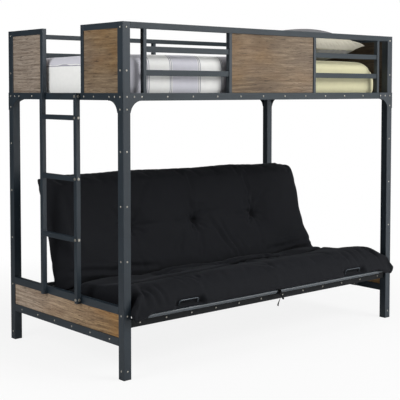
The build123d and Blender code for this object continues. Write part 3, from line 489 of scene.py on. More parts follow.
def build_world():
    """Faint even light, and plain white where the camera looks past the object."""
    world = bpy.data.worlds.new("studio")
    bpy.context.scene.world = world
    s = Nodes(world)
    light = s.node("ShaderNodeBackground", {"Color": (0.96, 0.98, 1.0, 1), "Strength": 0.11})
    white = s.node("ShaderNodeBackground", {"Color": (1, 1, 1, 1), "Strength": 1.0})
    rays = s.node("ShaderNodeLightPath").outputs
    seen = s.math("MAXIMUM", rays["Is Camera Ray"], rays["Is Transmission Ray"])
    mixed = s.node("ShaderNodeMixShader", {0: seen, 1: light.outputs[0], 2: white.outputs[0]})
    s.node("ShaderNodeOutputWorld", {"Surface": mixed.outputs[0]})


def area_lamp(name, place, target, size, power):
    data = bpy.data.lights.new(name, "AREA")
    data.shape = "RECTANGLE"
    data.size, data.size_y = size
    data.energy = power
    lamp = bpy.data.objects.new(name, data)
    bpy.context.collection.objects.link(lamp)
    lamp.location = place
    lamp.rotation_euler = (Vector(target) - Vector(place)).to_track_quat("-Z", "Y").to_euler()


# Each lamp's place, the place that it faces, its width and height, and its power in watts
LAMPS = {
    "key": ((2.0, -4.4, 3.9), (0, 0, 0.9), (3.0, 2.6), 208),
    "card": ((3.5, -4.1, 1.2), (0, 0, 0.9), (3.0, 2.4), 56),
    "end": ((-2.9, -0.25, 1.9), (-1.0, 0, 1.2), (1.3, 1.3), 31),
    "top": ((0.2, -0.8, 5.0), (0, 0, 0.8), (3.5, 3.0), 50),
}
build_floor()
build_world()
for lamp_name, lamp_settings in LAMPS.items():
    area_lamp(lamp_name, *lamp_settings)


# The futon: one mattress folded over the hinge, drawn as a section that is swept across the bed.
# Its stations run from the front lip to the fold and on up the back. Each has its place along
# its deck, then how high the upper face and the seam stand off the deck.
SEAT_STATIONS = [
    (0.765, 0.110, 0.042), (0.705, 0.120, 0.044), (0.635, 0.123, 0.046), (0.555, 0.113, 0.046),
    (0.475, 0.097, 0.044), (0.400, 0.087, 0.042), (0.310, 0.082, 0.042), (0.230, 0.074, 0.038),
    (0.175, 0.062, 0.034), (0.135, 0.048, 0.030), (0.090, 0.036, 0.026),
]
BACK_STATIONS = [
    (0.000, 0.095, 0.046), (-0.004, 0.140, 0.056), (-0.001, 0.172, 0.062), (0.014, 0.187, 0.066),
    (0.046, 0.184, 0.066), (0.090, 0.172, 0.066), (0.160, 0.149, 0.066), (0.230, 0.142, 0.066),
    (0.290, 0.138, 0.066), (0.370, 0.141, 0.066), (0.460, 0.142, 0.062), (0.545, 0.137, 0.054),
    (0.610, 0.128, 0.046), (0.650, 0.122, 0.040),
]
# How high the lower face lies above each deck, and how far cloth may sink below that
BASE_SEAT = 0.0134
BASE_BACK = 0.0118
SINK = 0.0002
# At the fold the two lower faces stay this far from the hinge
HINGE_GAP = 0.012
NEAR_HINGE = 0.2
HALF_WIDTH = 0.950
CELL = 0.0145
RIM_STEPS = 6
END_RIM = 0.055
SIDE_RIM = 0.045
# How far in from the seam each face is rounded off: at the sides of the back, at those of the seat, at
# the front end and at the top end. The upper face is side 1 and the lower one side -1
RIMS = {1: (0.036, 0.050, 0.052, 0.058), -1: (0.022, 0.022, 0.015, 0.025)}
# The tufts' places along the seat and the back, and their spacing across
TUFT_ROWS = (-0.36, 0.290)
TUFT_SPACING = 0.48
TUFTS = [(row, column * TUFT_SPACING) for row in TUFT_ROWS for column in (-1, 0, 1)]
# The wire hoops' place and half width, their box, and the front of the tube under the lip
HOOP_MIDDLE = 0.622
HOOP_HALF = 0.076
HOOP_LOW, HOOP_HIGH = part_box("pad_hoops")
TUBE_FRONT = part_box("seat_front_tube")[0].y
# Half the room between the posts, and how far in front of them the lip may widen
POST_ROOM = 0.954
POST_GAP = 0.0035


def from_deck(along, height, back):
    """The y and z of a place that is measured along a deck and off it."""
    if back:
        return HINGE.y + along * BACK_COS - height * BACK_SIN, HINGE.z + along * BACK_SIN + height * BACK_COS
    return HINGE.y - along, HINGE.z + height


def futon_stations():
    """Rows of upper, seam and lower places in y and z, with the mark along the futon last."""
    rows = []
    for back, stations, base in ((False, SEAT_STATIONS, BASE_SEAT), (True, BACK_STATIONS, BASE_BACK)):
        for along, top, seam in stations:
            low = max(along, HINGE_GAP)
            if not back and along < NEAR_HINGE:
                low = along - HINGE_GAP
            rows.append([
                *from_deck(along, top, back), *from_deck(along, seam, back), *from_deck(low, base, back),
                along if back else -along,
            ])
    return np.array(rows)


def smooth_path(knots):
    """A fine smooth path through the knots, with the length run along its first two columns."""
    ghost = np.vstack([2 * knots[0] - knots[1], knots, 2 * knots[-1] - knots[-2]])
    t = np.linspace(0, 1, 24, endpoint=False)[:, None]
    runs = []
    for a, b, c, d in zip(ghost[:-3], ghost[1:-2], ghost[2:-1], ghost[3:]):
        bend = (2 * a - 5 * b + 4 * c - d) * t**2 + (3 * b - a - 3 * c + d) * t**3
        runs.append(0.5 * (2 * b + (c - a) * t + bend))
    path = np.vstack([*runs, knots[-1:]])
    steps = np.linalg.norm(np.diff(path[:, :2], axis=0), axis=1)
    return path, np.concatenate([[0], np.cumsum(steps)])


def spaced(low, high, rim):
    """Places from low to high, closer together in the rounded rims at both ends."""
    angles = np.linspace(0, math.pi / 2, RIM_STEPS)
    start = low + rim * (1 - np.cos(angles))
    end = high - rim * (1 - np.cos(angles))[::-1]
    count = max(2, int(round((end[0] - start[-1]) / CELL)))
    return np.concatenate([start[:-1], np.linspace(start[-1], end[0], count + 1), end[1:]])


def fullness(distance, rim):
    """How far an edge has risen from its seam at a distance from it."""
    inside = np.clip(distance / rim, 0.0, 1.0)
    return (1 - (1 - inside) ** 2.2) ** (1 / 2.2)


def top_edge_drop(mark, x):
    """How far the back's upper part lies lower: more to the right, at its corners and in a slow wave."""
    share = np.abs(x) / HALF_WIDTH
    drop = 0.003 + 0.019 * (x + HALF_WIDTH) / (2 * HALF_WIDTH) + 0.030 * share**14
    return (drop + 0.0035 * np.sin(9 * x + 1.0)) * smoothstep((mark - 0.25) / 0.35)


def side_thinning(mark, x):
    """The share of its height that the upper face loses towards the sides."""
    roll = np.exp(-(((mark - 0.04) / 0.08) ** 2))
    seat = 0.16 - 0.06 * smoothstep((-mark - 0.42) / 0.15)
    return np.where(mark > 0, 0.07 + 0.13 * roll, seat) * (np.abs(x) / HALF_WIDTH) ** 4


def two_faced(name, material, faces, marks, turned=False):
    """An upper and a lower face on one grid that share their rim. Each vertex keeps its places on
    the cloth and its side, which later folds are drawn by. turned goes round the quads the other way."""
    rows, columns = marks[0].shape
    points, index, info, quads = [], {}, [], []
    for side in (1, -1):
        for i in range(rows):
            for j in range(columns):
                rim = i in (0, rows - 1) or j in (0, columns - 1)
                if rim and side < 0:
                    index[side, i, j] = index[1, i, j]
                    continue
                index[side, i, j] = len(points)
                points.append(faces[side][i, j])
                info.append((marks[0][i, j], marks[1][i, j], 0 if rim else side))
    for i in range(rows - 1):
        for j in range(columns - 1):
            corner = [(i, j), (i + 1, j), (i + 1, j + 1), (i, j + 1)]
            if turned:
                corner = [corner[0], corner[3], corner[2], corner[1]]
            quads.append([index[1, a, b] for a, b in corner])
            quads.append([index[-1, a, b] for a, b in reversed(corner)])
    made = new_object(name, points, quads, material)
    for number, kind in enumerate(("mark", "across", "side")):
        layer = made.data.attributes.new(kind, "FLOAT", "POINT")
        layer.data.foreach_set("value", [float(row[number]) for row in info])
    return made


def build_futon(material):
    """Sweep the section across the bed."""
    path, length = smooth_path(futon_stations())
    run = spaced(0, length[-1], END_RIM)
    section = np.stack([np.interp(run, length, path[:, k]) for k in range(7)], axis=1)
    mark, x = np.meshgrid(section[:, 6], spaced(-HALF_WIDTH, HALF_WIDTH, SIDE_RIM), indexing="ij")
    inset = HALF_WIDTH - np.abs(x)
    drop = top_edge_drop(mark, x)
    faces = {}
    for side, (back_rim, seat_rim, front_rim, top_rim) in RIMS.items():
        across = fullness(inset, np.where(mark > 0, back_rim, seat_rim))
        ends = fullness(run, front_rim) * fullness(length[-1] - run, top_rim)
        full = across * ends[:, None]
        if side > 0:
            full = full * (1 - side_thinning(mark, x))
        outer = section[:, 0:2] if side > 0 else section[:, 4:6]
        places = section[:, None, 2:4] + (outer - section[:, 2:4])[:, None, :] * full[..., None]
        places[..., 0] -= drop * BACK_COS
        places[..., 1] -= drop * BACK_SIN
        faces[side] = np.dstack([MID.x + x, places])
    return two_faced("futon", material, faces, (mark, x), turned=True)


def marks_of(piece):
    """The place along, the place across and the side of every vertex of a soft piece."""
    found = []
    for name in ("mark", "across", "side"):
        values = np.empty(len(piece.data.vertices))
        piece.data.attributes[name].data.foreach_get("value", values)
        found.append(values)
    return found


def push_out(piece, amount):
    """Move each vertex along its normal."""
    set_coordinates(piece, coordinates(piece) + vertex_normals(piece) * amount[:, None])


def pull_tufts(piece, depth, reach):
    """Draw the upper face in at each tuft."""
    mark, across, side = marks_of(piece)
    points, normals = coordinates(piece), vertex_normals(piece)
    for row, column in TUFTS:
        away = np.hypot(mark - row, across - column)
        points -= normals * (np.where(side > 0, depth, 0.0) * np.exp(-((away / reach) ** 2)))[:, None]
    set_coordinates(piece, points)


def futon_pins(piece):
    """Hold the lower face, the walls of the fold and the tufts."""
    mark, across, side = marks_of(piece)
    held = ((side < 0) & (np.abs(across) < 0.93)) | (np.abs(mark) < 0.02) | ((mark < 0) & (mark > -0.14))
    for row, column in TUFTS:
        held |= (np.hypot(mark - row, across - column) < 0.020) & (side > 0)
    return np.nonzero(held)[0]


# Every fold's depth is given before this factor
FOLD_STRENGTH = 1.35


def folds(piece, strokes):
    """Press creases into the upper face, each with its path, width and depth, and a soft ridge beside it."""
    mark, across, side = marks_of(piece)
    change = np.zeros(len(mark))
    for path, width, depth in strokes:
        nearest = np.full(len(mark), 9.0)
        level = np.zeros(len(mark))
        total = len(path) - 1
        for number, (a, b) in enumerate(zip(path[:-1], path[1:])):
            run = np.array(b) - np.array(a)
            t = ((mark - a[0]) * run[0] + (across - a[1]) * run[1]) / max(run @ run, 1e-9)
            t = np.clip(t, 0, 1)
            away = np.hypot(mark - a[0] - t * run[0], across - a[1] - t * run[1])
            closer = away < nearest
            nearest = np.where(closer, away, nearest)
            level = np.where(closer, (number + t) / total, level)
        taper = np.sin(np.pi * np.clip(level, 0.02, 0.98)) ** 0.6
        groove = np.exp(-((nearest / width) ** 2))
        ridge = 0.45 * np.exp(-(((nearest - 2.1 * width) / (1.1 * width)) ** 2))
        change += depth * taper * (ridge - groove)
    push_out(piece, change * (FOLD_STRENGTH * np.clip(side, 0, 1)))


def tuft_puckers():
    """Short creases that run out from each tuft, at seeded angles and lengths."""
    rng = np.random.default_rng(11)
    strokes = []
    for row, column in TUFTS:
        start = rng.uniform(0, 2 * math.pi)
        for number in range(9):
            angle = start + number * 2 * math.pi / 9 + rng.uniform(-0.2, 0.2)
            reach = rng.uniform(0.05, 0.12)
            away = np.array([math.sin(angle), math.cos(angle)])
            bend = np.array([away[1], -away[0]]) * rng.uniform(-0.012, 0.012)
            first = np.array([row, column])
            path = [first + away * 0.012, first + away * reach * 0.55 + bend, first + away * reach]
            width, depth = rng.uniform(0.0065, 0.0095), rng.uniform(0.0030, 0.0058)
            strokes.append(([tuple(p) for p in path], width, depth))
    return strokes


# The folds that the photograph shows: places along and across, then width and depth
DRAPES = [
    ([(0.31, 0.10), (0.21, 0.15), (0.11, 0.19), (0.035, 0.22)], 0.014, 0.0050),
    ([(0.27, 0.19), (0.17, 0.22), (0.09, 0.25), (0.030, 0.27)], 0.011, 0.0045),
    ([(0.17, 0.29), (0.10, 0.31), (0.035, 0.32)], 0.010, 0.0035),
    ([(0.075, 0.93), (0.085, 0.80), (0.060, 0.66), (0.050, 0.50)], 0.011, 0.0085),
    ([(0.110, 0.90), (0.115, 0.76), (0.098, 0.62)], 0.010, 0.0042),
    ([(0.040, 0.92), (0.036, 0.75), (0.028, 0.58)], 0.009, 0.0050),
    ([(0.050, -0.72), (0.070, -0.56), (0.052, -0.36)], 0.011, 0.0085),
    ([(0.090, -0.93), (0.080, -0.80), (0.060, -0.64)], 0.012, 0.0075),
    ([(0.125, -0.90), (0.112, -0.76), (0.095, -0.60)], 0.010, 0.0045),
    ([(-0.25, -0.03), (-0.34, 0.0), (-0.43, 0.02), (-0.50, 0.03)], 0.010, 0.0065),
    ([(-0.30, 0.10), (-0.38, 0.13), (-0.46, 0.14)], 0.010, 0.0045),
    ([(0.45, 0.62), (0.38, 0.55), (0.32, 0.50)], 0.012, 0.0030),
    ([(0.56, -0.30), (0.44, -0.38), (0.34, -0.45)], 0.014, 0.0030),
    ([(0.55, -0.88), (0.35, -0.86), (0.16, -0.84)], 0.020, 0.0050),
    ([(0.24, -0.10), (0.15, -0.16), (0.07, -0.20)], 0.012, 0.0035),
    ([(0.23, 0.02), (0.14, 0.00), (0.06, -0.02)], 0.012, 0.0030),
    ([(-0.20, 0.30), (-0.30, 0.27), (-0.42, 0.26), (-0.50, 0.24)], 0.012, 0.0045),
    ([(-0.20, 0.36), (-0.31, 0.35), (-0.44, 0.33)], 0.011, 0.0035),
    ([(-0.56, -0.62), (-0.64, -0.58), (-0.71, -0.53)], 0.009, 0.0035),
    ([(-0.55, -0.57), (-0.63, -0.53), (-0.70, -0.49)], 0.009, 0.0032),
    ([(-0.57, -0.67), (-0.65, -0.64), (-0.72, -0.60)], 0.009, 0.0028),
    ([(-0.69, -0.90), (-0.74, -0.88), (-0.78, -0.875)], 0.010, 0.0040),
    ([(-0.68, -0.85), (-0.74, -0.83), (-0.78, -0.82)], 0.010, 0.0040),
    ([(-0.67, -0.79), (-0.74, -0.775), (-0.78, -0.77)], 0.010, 0.0034),
    ([(-0.66, 0.60), (-0.72, 0.61), (-0.77, 0.61)], 0.010, 0.0034),
    ([(-0.65, 0.66), (-0.72, 0.67), (-0.77, 0.675)], 0.010, 0.0036),
    ([(-0.64, 0.74), (-0.71, 0.75), (-0.76, 0.75)], 0.010, 0.0030),
    ([(-0.66, 0.88), (-0.72, 0.87), (-0.77, 0.865)], 0.010, 0.0040),
    ([(-0.52, 0.40), (-0.58, 0.44), (-0.62, 0.52)], 0.012, 0.0025),
    ([(-0.60, -0.10), (-0.66, -0.04), (-0.69, 0.05)], 0.014, 0.0022),
]


def keep_above_decks(points, mark):
    """Lift what lies lower than its deck, straight up on the seat and off its deck on the back."""
    seat = mark <= 0
    points[seat, 2] = np.maximum(points[seat, 2], HINGE.z + BASE_SEAT - SINK)
    off = (points[:, 2] - HINGE.z) * BACK_COS - (points[:, 1] - HINGE.y) * BACK_SIN
    lift = np.where(seat, 0.0, np.maximum(BASE_BACK - SINK - off, 0.0))
    points[:, 1] -= lift * BACK_SIN
    points[:, 2] += lift * BACK_COS


def in_front(points, plane_y):
    """1 where a point lies in front of a plane, falling to 0 behind it."""
    return smoothstep((plane_y - points[:, 1]) / 0.006)


def widen_lip(points):
    """Keep the futon between the posts, and let its lip bulge where it is in front of them. The
    result is each point's place across."""
    x = np.clip(points[:, 0] - MID.x, -POST_ROOM, POST_ROOM)
    outer = smoothstep((np.abs(x) - 0.85) / 0.10)
    level = (points[:, 2] - HINGE.z - 0.046) / 0.060
    bulge = 0.008 + 0.030 * np.clip(1 - np.abs(level) ** 1.6, 0.0, 1.0)
    x += np.sign(x) * in_front(points, POST_FRONT - POST_GAP) * outer * bulge
    points[:, 0] = MID.x + x
    return x


def hold_behind_hoops(points, x):
    """The wire hoops hold the lip back where they stand in front of it, least at their feet."""
    over_foot = points[:, 2] - HOOP_LOW.z
    from_hoop = np.abs(np.abs(x) - HOOP_MIDDLE) - HOOP_HALF
    wire = HOOP_HIGH.y + (HOOP_LOW.y - HOOP_HIGH.y) * over_foot / (HOOP_HIGH.z - HOOP_LOW.z)
    hold = (1 - smoothstep(from_hoop / 0.030)) * (1 - smoothstep((points[:, 2] - HOOP_HIGH.z) / 0.030))
    hold *= 0.15 + 0.85 * smoothstep((over_foot - 0.004) / 0.012)
    points[:, 1] += np.maximum(wire + 0.006 - points[:, 1], 0.0) * hold


def hang_corners(points, x):
    """The lip's corners hang down in front of the tube's ends, and lower still past them."""
    height = points[:, 2] - HINGE.z - BASE_SEAT
    front = in_front(points, TUBE_FRONT - 0.002) * smoothstep((np.abs(x) - 0.845) / 0.08)
    past = in_front(points, POST_FRONT - POST_GAP) * smoothstep((np.abs(x) - 0.9425) / 0.003)
    drop = np.maximum(
        0.026 * front * (1 - smoothstep(height / 0.060)), 0.040 * past * (1 - smoothstep(height / 0.100))
    )
    lowest = HINGE.z - 0.016
    points[:, 2] = np.where(drop > 0, np.maximum(points[:, 2] - drop, lowest), points[:, 2])


def settle_futon(piece):
    """Make room for the decks, the posts, the hoops and the front tube."""
    points = coordinates(piece)
    keep_above_decks(points, marks_of(piece)[0])
    x = widen_lip(points)
    hold_behind_hoops(points, x)
    hang_corners(points, x)
    set_coordinates(piece, points)


# Where the seat's filling is folded over itself: places across, how far along the seat the crease
# is there, and how strong. One fold runs behind the left half of the front lobe, one under the
# back's right half
LEFT_FOLD = [
    (-0.95, 0.570, 0.50), (-0.60, 0.560, 0.85), (-0.45, 0.550, 0.90), (-0.30, 0.510, 0.90),
    (-0.15, 0.470, 0.80), (0.0, 0.430, 0.60), (0.10, 0.420, 0.0),
]
RIGHT_FOLD = [
    (-0.60, 0.300, 0.0), (-0.45, 0.290, 0.10), (-0.30, 0.280, 0.30), (-0.15, 0.280, 0.60),
    (0.0, 0.300, 0.80), (0.10, 0.325, 1.0), (0.20, 0.355, 1.0), (0.30, 0.385, 1.0),
    (0.45, 0.400, 1.0), (0.60, 0.390, 1.0), (0.75, 0.330, 0.65), (0.95, 0.220, 0.08),
]
# The fold's own section: distances behind its crease, and how far cloth moves forward and up there
OVER_AT = (0.0, 0.008, 0.015, 0.025, 0.040, 0.060, 0.100, 0.150)
OVER_FORWARD = (0.0, 0.016, 0.028, 0.042, 0.047, 0.039, 0.018, 0.0)
OVER_UP = (-0.030, -0.020, -0.006, 0.009, 0.018, 0.018, 0.010, 0.0)


def fold_over(piece, crease):
    """Fold the seat's upper cloth forward over a crease, so the crease lies in its own shade."""
    mark, across, side = marks_of(piece)
    points = coordinates(piece)
    places, along, strength = zip(*crease)
    behind = mark + np.interp(across, places, along)
    share = np.interp(across, places, strength) * np.clip(side, 0, 1) * (mark < 0)
    before = OVER_UP[0] * np.exp(-((behind / 0.014) ** 2))
    points[:, 1] -= share * np.where(behind > 0, np.interp(behind, OVER_AT, OVER_FORWARD), 0.0)
    points[:, 2] += share * np.where(behind > 0, np.interp(behind, OVER_AT, OVER_UP), before)
    set_coordinates(piece, points)


def swell(piece, seed, size, depth):
    """Uneven filling: a slow noise over the upper face."""
    mark, across, side = marks_of(piece)
    places = [Vector((m / size + seed, a / size, seed * 1.7)) for m, a in zip(mark, across)]
    push_out(piece, np.array([noise.noise(place) for place in places]) * depth * np.clip(side, 0, 1))


# The futon's folds carry painted shade: shade darkens the black cloth where folds hem it in
futon_black = woven(
    "futon_cloth", plain(20, 21.5, 26), thread=1500.0, rough=0.82, crease=0.4, shade=0.9,
    sheen=0.03, sheen_tint=(0.8, 0.85, 0.95, 1),
)
futon = build_futon(futon_black)
pull_tufts(futon, depth=0.026, reach=0.026)
inflate(futon, futon_pins(futon), pressure=4.0, cap=0.022, shrink=-0.014)
subdivide(futon)
pull_tufts(futon, depth=0.013, reach=0.017)
swell(futon, seed=3.1, size=0.21, depth=0.0075)
swell(futon, seed=8.4, size=0.075, depth=0.0026)
fold_over(futon, LEFT_FOLD)
fold_over(futon, RIGHT_FOLD)
folds(futon, tuft_puckers() + DRAPES)
settle_futon(futon)
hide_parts("seat_pad", "back_pad")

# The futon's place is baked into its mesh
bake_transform(futon)


# The bunk's mattress, sheet and blanket
BED_MID = Vector((MID.x - 0.010, MID.y, 0))
BED_HALF = (0.939, 0.477)
BED_LOW, BED_HIGH = 1.3525, 1.5523
BED_RIM = 0.040
BED_CELL = 0.022
BED_CROWN = 0.010
# The right end's upper edge is rounder than the others, and stands back from the solid's
END_ROUND = 0.125
END_SHORT = 0.016


def rounded_slab(grow, high):
    """The mattress's box, larger by a margin, with rounded edges and an even quad grid."""
    half_x, half_y, low, rim = BED_HALF[0] + grow, BED_HALF[1] + grow, BED_LOW - grow, BED_RIM + grow
    size = Vector((2 * half_x, 2 * half_y, high - low))
    limits = ((-half_x, half_x), (-half_y, half_y), (low, high))
    bm = bmesh.new()
    bmesh.ops.create_cube(bm, size=1.0)
    for vert in bm.verts:
        vert.co = (vert.co.x * size.x, vert.co.y * size.y, vert.co.z * size.z + (low + high) / 2)
    for axis in range(3):
        edges = [e for e in bm.edges if abs((e.verts[1].co - e.verts[0].co).normalized()[axis]) > 0.99]
        bmesh.ops.subdivide_edges(bm, edges=edges, cuts=int(size[axis] / BED_CELL), use_grid_fill=True)
    for vert in bm.verts:
        inner = Vector([max(a + rim, min(b - rim, place)) for (a, b), place in zip(limits, vert.co)])
        out = vert.co - inner
        if out.length > 1e-9:
            vert.co = inner + out.normalized() * max(abs(part) for part in out)
    bmesh.ops.translate(bm, verts=bm.verts, vec=BED_MID)
    return bm


def bm_object(name, bm, material):
    mesh = bpy.data.meshes.new(name)
    bm.normal_update()
    bm.to_mesh(mesh)
    bm.free()
    return link_mesh(name, mesh, material)


def shape_bed(piece, grow):
    """Round the right end as far as the photographed mattress is rounded, and crown the upper face."""
    points = coordinates(piece)
    half_x, high, radius = BED_HALF[0] + grow, BED_HIGH + grow, END_ROUND + grow
    points[:, 0] -= END_SHORT * smoothstep((points[:, 0] - BED_MID.x - half_x + 0.25) / 0.25)
    over_x = (points[:, 0] - BED_MID.x - half_x + END_SHORT + radius) / radius
    over_z = (points[:, 2] - high + radius) / radius
    shrink = np.maximum(over_x, over_z) / np.maximum(np.hypot(over_x, over_z), 1e-9) - 1
    inside = (over_x > 0) & (over_z > 0)
    points[:, 0] += np.where(inside, over_x * shrink * radius, 0.0)
    points[:, 2] += np.where(inside, over_z * shrink * radius, 0.0)
    x = np.abs(points[:, 0] - BED_MID.x) / BED_HALF[0]
    y = np.abs(points[:, 1] - BED_MID.y) / BED_HALF[1]
    rise = smoothstep((points[:, 2] - BED_LOW) / (BED_HIGH - BED_LOW))
    points[:, 2] -= BED_CROWN * rise * np.clip(0.55 * x**6 + 0.45 * y**4, 0, 1)
    set_coordinates(piece, points)


def wrinkle(points, normals, seed, size, depth, stretch=(1, 1, 1)):
    """Push points along their normals by a smooth seeded noise."""
    offset = Vector((seed * 3.17, seed * 1.31, seed * 2.71))
    amounts = np.array([noise.noise(Vector(point * stretch) / size + offset) for point in points])
    return points + normals * (amounts * depth)[:, None]


mattress_white = woven("mattress_cloth", plain(214, 213, 208), thread=1200.0, crease=0.15)
mattress = bm_object("bunk_mattress", rounded_slab(0.0, BED_HIGH - 0.001), mattress_white)
shape_bed(mattress, 0.0)
subdivide(mattress)
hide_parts("upper_mattress")
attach(mattress, "frame")


def cut_off(bm, place, direction):
    """Remove what lies past a plane."""
    parts = bm.verts[:] + bm.edges[:] + bm.faces[:]
    bmesh.ops.bisect_plane(bm, geom=parts, plane_co=place, plane_no=direction, clear_outer=True)


def cover_piece(name, material, grow, thickness, hem, seed, depth, end=None):
    """A cloth over the mattress: its outer skin from a hem up, cut off at its end, with a thickness."""
    bm = rounded_slab(grow, BED_HIGH + grow)
    cut_off(bm, (0, 0, BED_LOW + hem), (0, 0, -1))
    if end is not None:
        cut_off(bm, (MID.x + end, 0, 0), (1, 0, 0))
    made = bm_object(name, bm, material)
    shape_bed(made, grow)
    moved = wrinkle(coordinates(made), vertex_normals(made), seed, 0.11, depth)
    moved = wrinkle(moved, vertex_normals(made), seed + 5, 0.045, depth * 0.35, (1, 1, 0.4))
    set_coordinates(made, moved)
    solid = made.modifiers.new("thickness", "SOLIDIFY")
    solid.thickness = thickness
    solid.offset = -1.0
    apply_modifiers(made)
    return subdivide(made)


cream = woven("sheet_cloth", plain(224, 219, 181), thread=1700.0, crease=0.12, weave=0.08)
sheet = cover_piece("sheet_cover", cream, grow=0.0045, thickness=0.0015, hem=0.004, seed=2, depth=0.0012)
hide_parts("fitted_sheet")
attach(sheet, "frame")

# The blanket's lavender bands and thin lines, as places along the bed from the posts' middle, where
# the blanket ends, and where it turns down over the mattress's left end
BANDS = ((-0.958, -0.828), (-0.665, -0.500), (-0.325, -0.165), (0.0, 0.16))
LINES = (-0.822, -0.812, -0.681, -0.671, -0.494, -0.484, -0.341, -0.331, -0.159, -0.149, -0.961, -0.006)
LINE_HALF = 0.0025
BLANKET_END = 0.190
LEFT_END = -0.935
LEFT_END_TOP = 1.5105


def striped(s):
    """Broad lavender and white bands across the bed, edged by pairs of thin lines. They run on down
    the mattress's left end."""
    x, _, z = s.split()
    run = s.math("SUBTRACT", x, MID.x)
    down = s.math("MAXIMUM", s.math("SUBTRACT", LEFT_END_TOP, z), 0.0)
    place = s.math("SUBTRACT", run, s.math("MULTIPLY", down, s.math("LESS_THAN", run, LEFT_END)))

    def band(low, high):
        return s.math("MULTIPLY", s.math("GREATER_THAN", place, low), s.math("LESS_THAN", place, high))

    colour = srgb(250, 250, 247)
    for low, high in BANDS:
        colour = s.mix(band(low, high), colour, srgb(216, 215, 223))
    for centre in LINES:
        colour = s.mix(band(centre - LINE_HALF, centre + LINE_HALF), colour, srgb(166, 165, 176))
    return colour


stripes = woven("blanket_cloth", striped, thread=1500.0, crease=0.2, weave=0.1)
blanket = cover_piece(
    "blanket_cover", stripes, grow=0.0105, thickness=0.0045, hem=0.012, seed=9, depth=0.0022, end=BLANKET_END
)
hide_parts("blanket")
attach(blanket, "frame")


# Pillows: two cloths sewn at the rim and filled, with crushed corners and puckers at the seam
PILLOW_HALF = (0.215, 0.325)
PILLOW_CELLS = (40, 58)
# How far the cells bunch up towards the seam, and how far the seam is drawn in between the corners
BUNCH = (0.93, 0.90)
DRAWN_IN = (0.055, 0.045)
PUCKER_REACH = 0.06
PUCKER_SPACING = 0.030
# Heights of each pillow's underside, seam and crown
LOWER_HEIGHTS = (1.5542, 1.6240, 1.7030)
UPPER_HEIGHTS = (1.6600, 1.6920, 1.7570)
# How far under its seam the lower pillow's two colours meet
COLOUR_DROP = 0.004


def bunched(cells, bunch):
    """Places from -1 to 1 that lie closer together towards both ends."""
    return np.sin(np.linspace(-1, 1, cells + 1) * math.pi / 2 * bunch) / math.sin(math.pi / 2 * bunch)


def pillow_mesh(name, material, centre, heights, plump, lean=(0.0, 0.0), curl=0.0, press=None):
    """A filled pillow. plump is how square its filling is and lean moves its crown. curl lifts its
    near right corner, and press, a place and a share, flattens what lies past it."""
    low, seam, high = heights
    half_x, half_y = PILLOW_HALF
    along = [bunched(cells, bunch) for cells, bunch in zip(PILLOW_CELLS, BUNCH)]
    px, py = np.meshgrid(*along, indexing="ij")
    x = centre[0] + px * half_x * (1 - DRAWN_IN[0] * (1 - np.abs(py) ** 2.5) * np.abs(px) ** 2)
    y = centre[1] + py * half_y * (1 - DRAWN_IN[1] * (1 - np.abs(px) ** 2.5) * np.abs(py) ** 2)
    full = ((1 - np.abs(px) ** plump) * (1 - np.abs(py) ** plump)) ** (2.0 / plump)
    upper = (high - seam) * full * (1 + lean[0] * px + lean[1] * py)
    if press is not None:
        upper = upper * (1 - press[1] * smoothstep((y - press[0]) / 0.13))
    lower = (seam - low) * ((1 - px**2) * (1 - py**2)) ** 0.9
    corner_share = smoothstep((px - 0.60) / 0.40) * smoothstep((-py - 0.72) / 0.28)
    lift = curl * corner_share
    x += 0.6 * curl * corner_share
    y -= 0.3 * curl * corner_share
    faces = {1: np.dstack([x, y, seam + upper + lift]), -1: np.dstack([x, y, seam - lower + lift])}
    return two_faced(name, material, faces, (px * half_x, py * half_y))


def pillow_puckers(seed):
    """Short folds that run in from the seam, longer near the corners."""
    rng = np.random.default_rng(seed)
    half_x, half_y = PILLOW_HALF
    strokes = []
    for edge in range(4):
        length = half_y if edge < 2 else half_x
        sign = 1 if edge % 2 else -1
        place = -length + 0.02
        while place < length - 0.02:
            run = PUCKER_REACH * rng.uniform(0.5, 1.0) * (0.7 + 0.9 * (abs(place) / length) ** 3)
            slant = -0.5 * place / length * run + rng.uniform(-0.006, 0.006)
            if edge < 2:
                start, end = (sign * half_x, place), (sign * (half_x - run), place + slant)
            else:
                start, end = (place, sign * half_y), (place + slant, sign * (half_y - run))
            middle = ((start[0] + end[0]) / 2, (start[1] + end[1]) / 2)
            strokes.append(([start, middle, end], rng.uniform(0.005, 0.008), rng.uniform(0.0012, 0.0030)))
            place += PUCKER_SPACING * rng.uniform(0.7, 1.4)
    return strokes


def rest_on(piece, below, gap):
    """Lift every vertex that lies lower than the top of the piece under it."""
    tree = BVHTree.FromObject(below, bpy.context.evaluated_depsgraph_get())
    points = coordinates(piece)
    for point in points:
        hit = tree.ray_cast(Vector((point[0], point[1], 3.0)), Vector((0, 0, -1)))[0]
        if hit is not None:
            point[2] = max(point[2], hit.z + gap)
    set_coordinates(piece, points)


def fill_pillow(piece, cap, seed, below, gap):
    """Fill a sewn pillow, pucker its seam and rest it on what lies below."""
    seam = np.nonzero(marks_of(piece)[2] == 0)[0]
    inflate(piece, seam, pressure=1.2, cap=cap, shrink=-0.02, frames=14)
    subdivide(piece)
    folds(piece, pillow_puckers(seed))
    rest_on(piece, below, gap)


def two_sided(top, under, level):
    """The upper cloth's colour above a height and the lower cloth's below it."""
    def colour(s):
        ragged = s.math("MULTIPLY", s.math("SUBTRACT", s.noise(s.place, 46.0, 2.0), 0.5), 0.010)
        below = s.range(s.math("ADD", s.split()[2], ragged), level - 0.001, level + 0.001, 1.0, 0.0)
        return s.mix(below, srgb(*top), srgb(*under))
    return colour


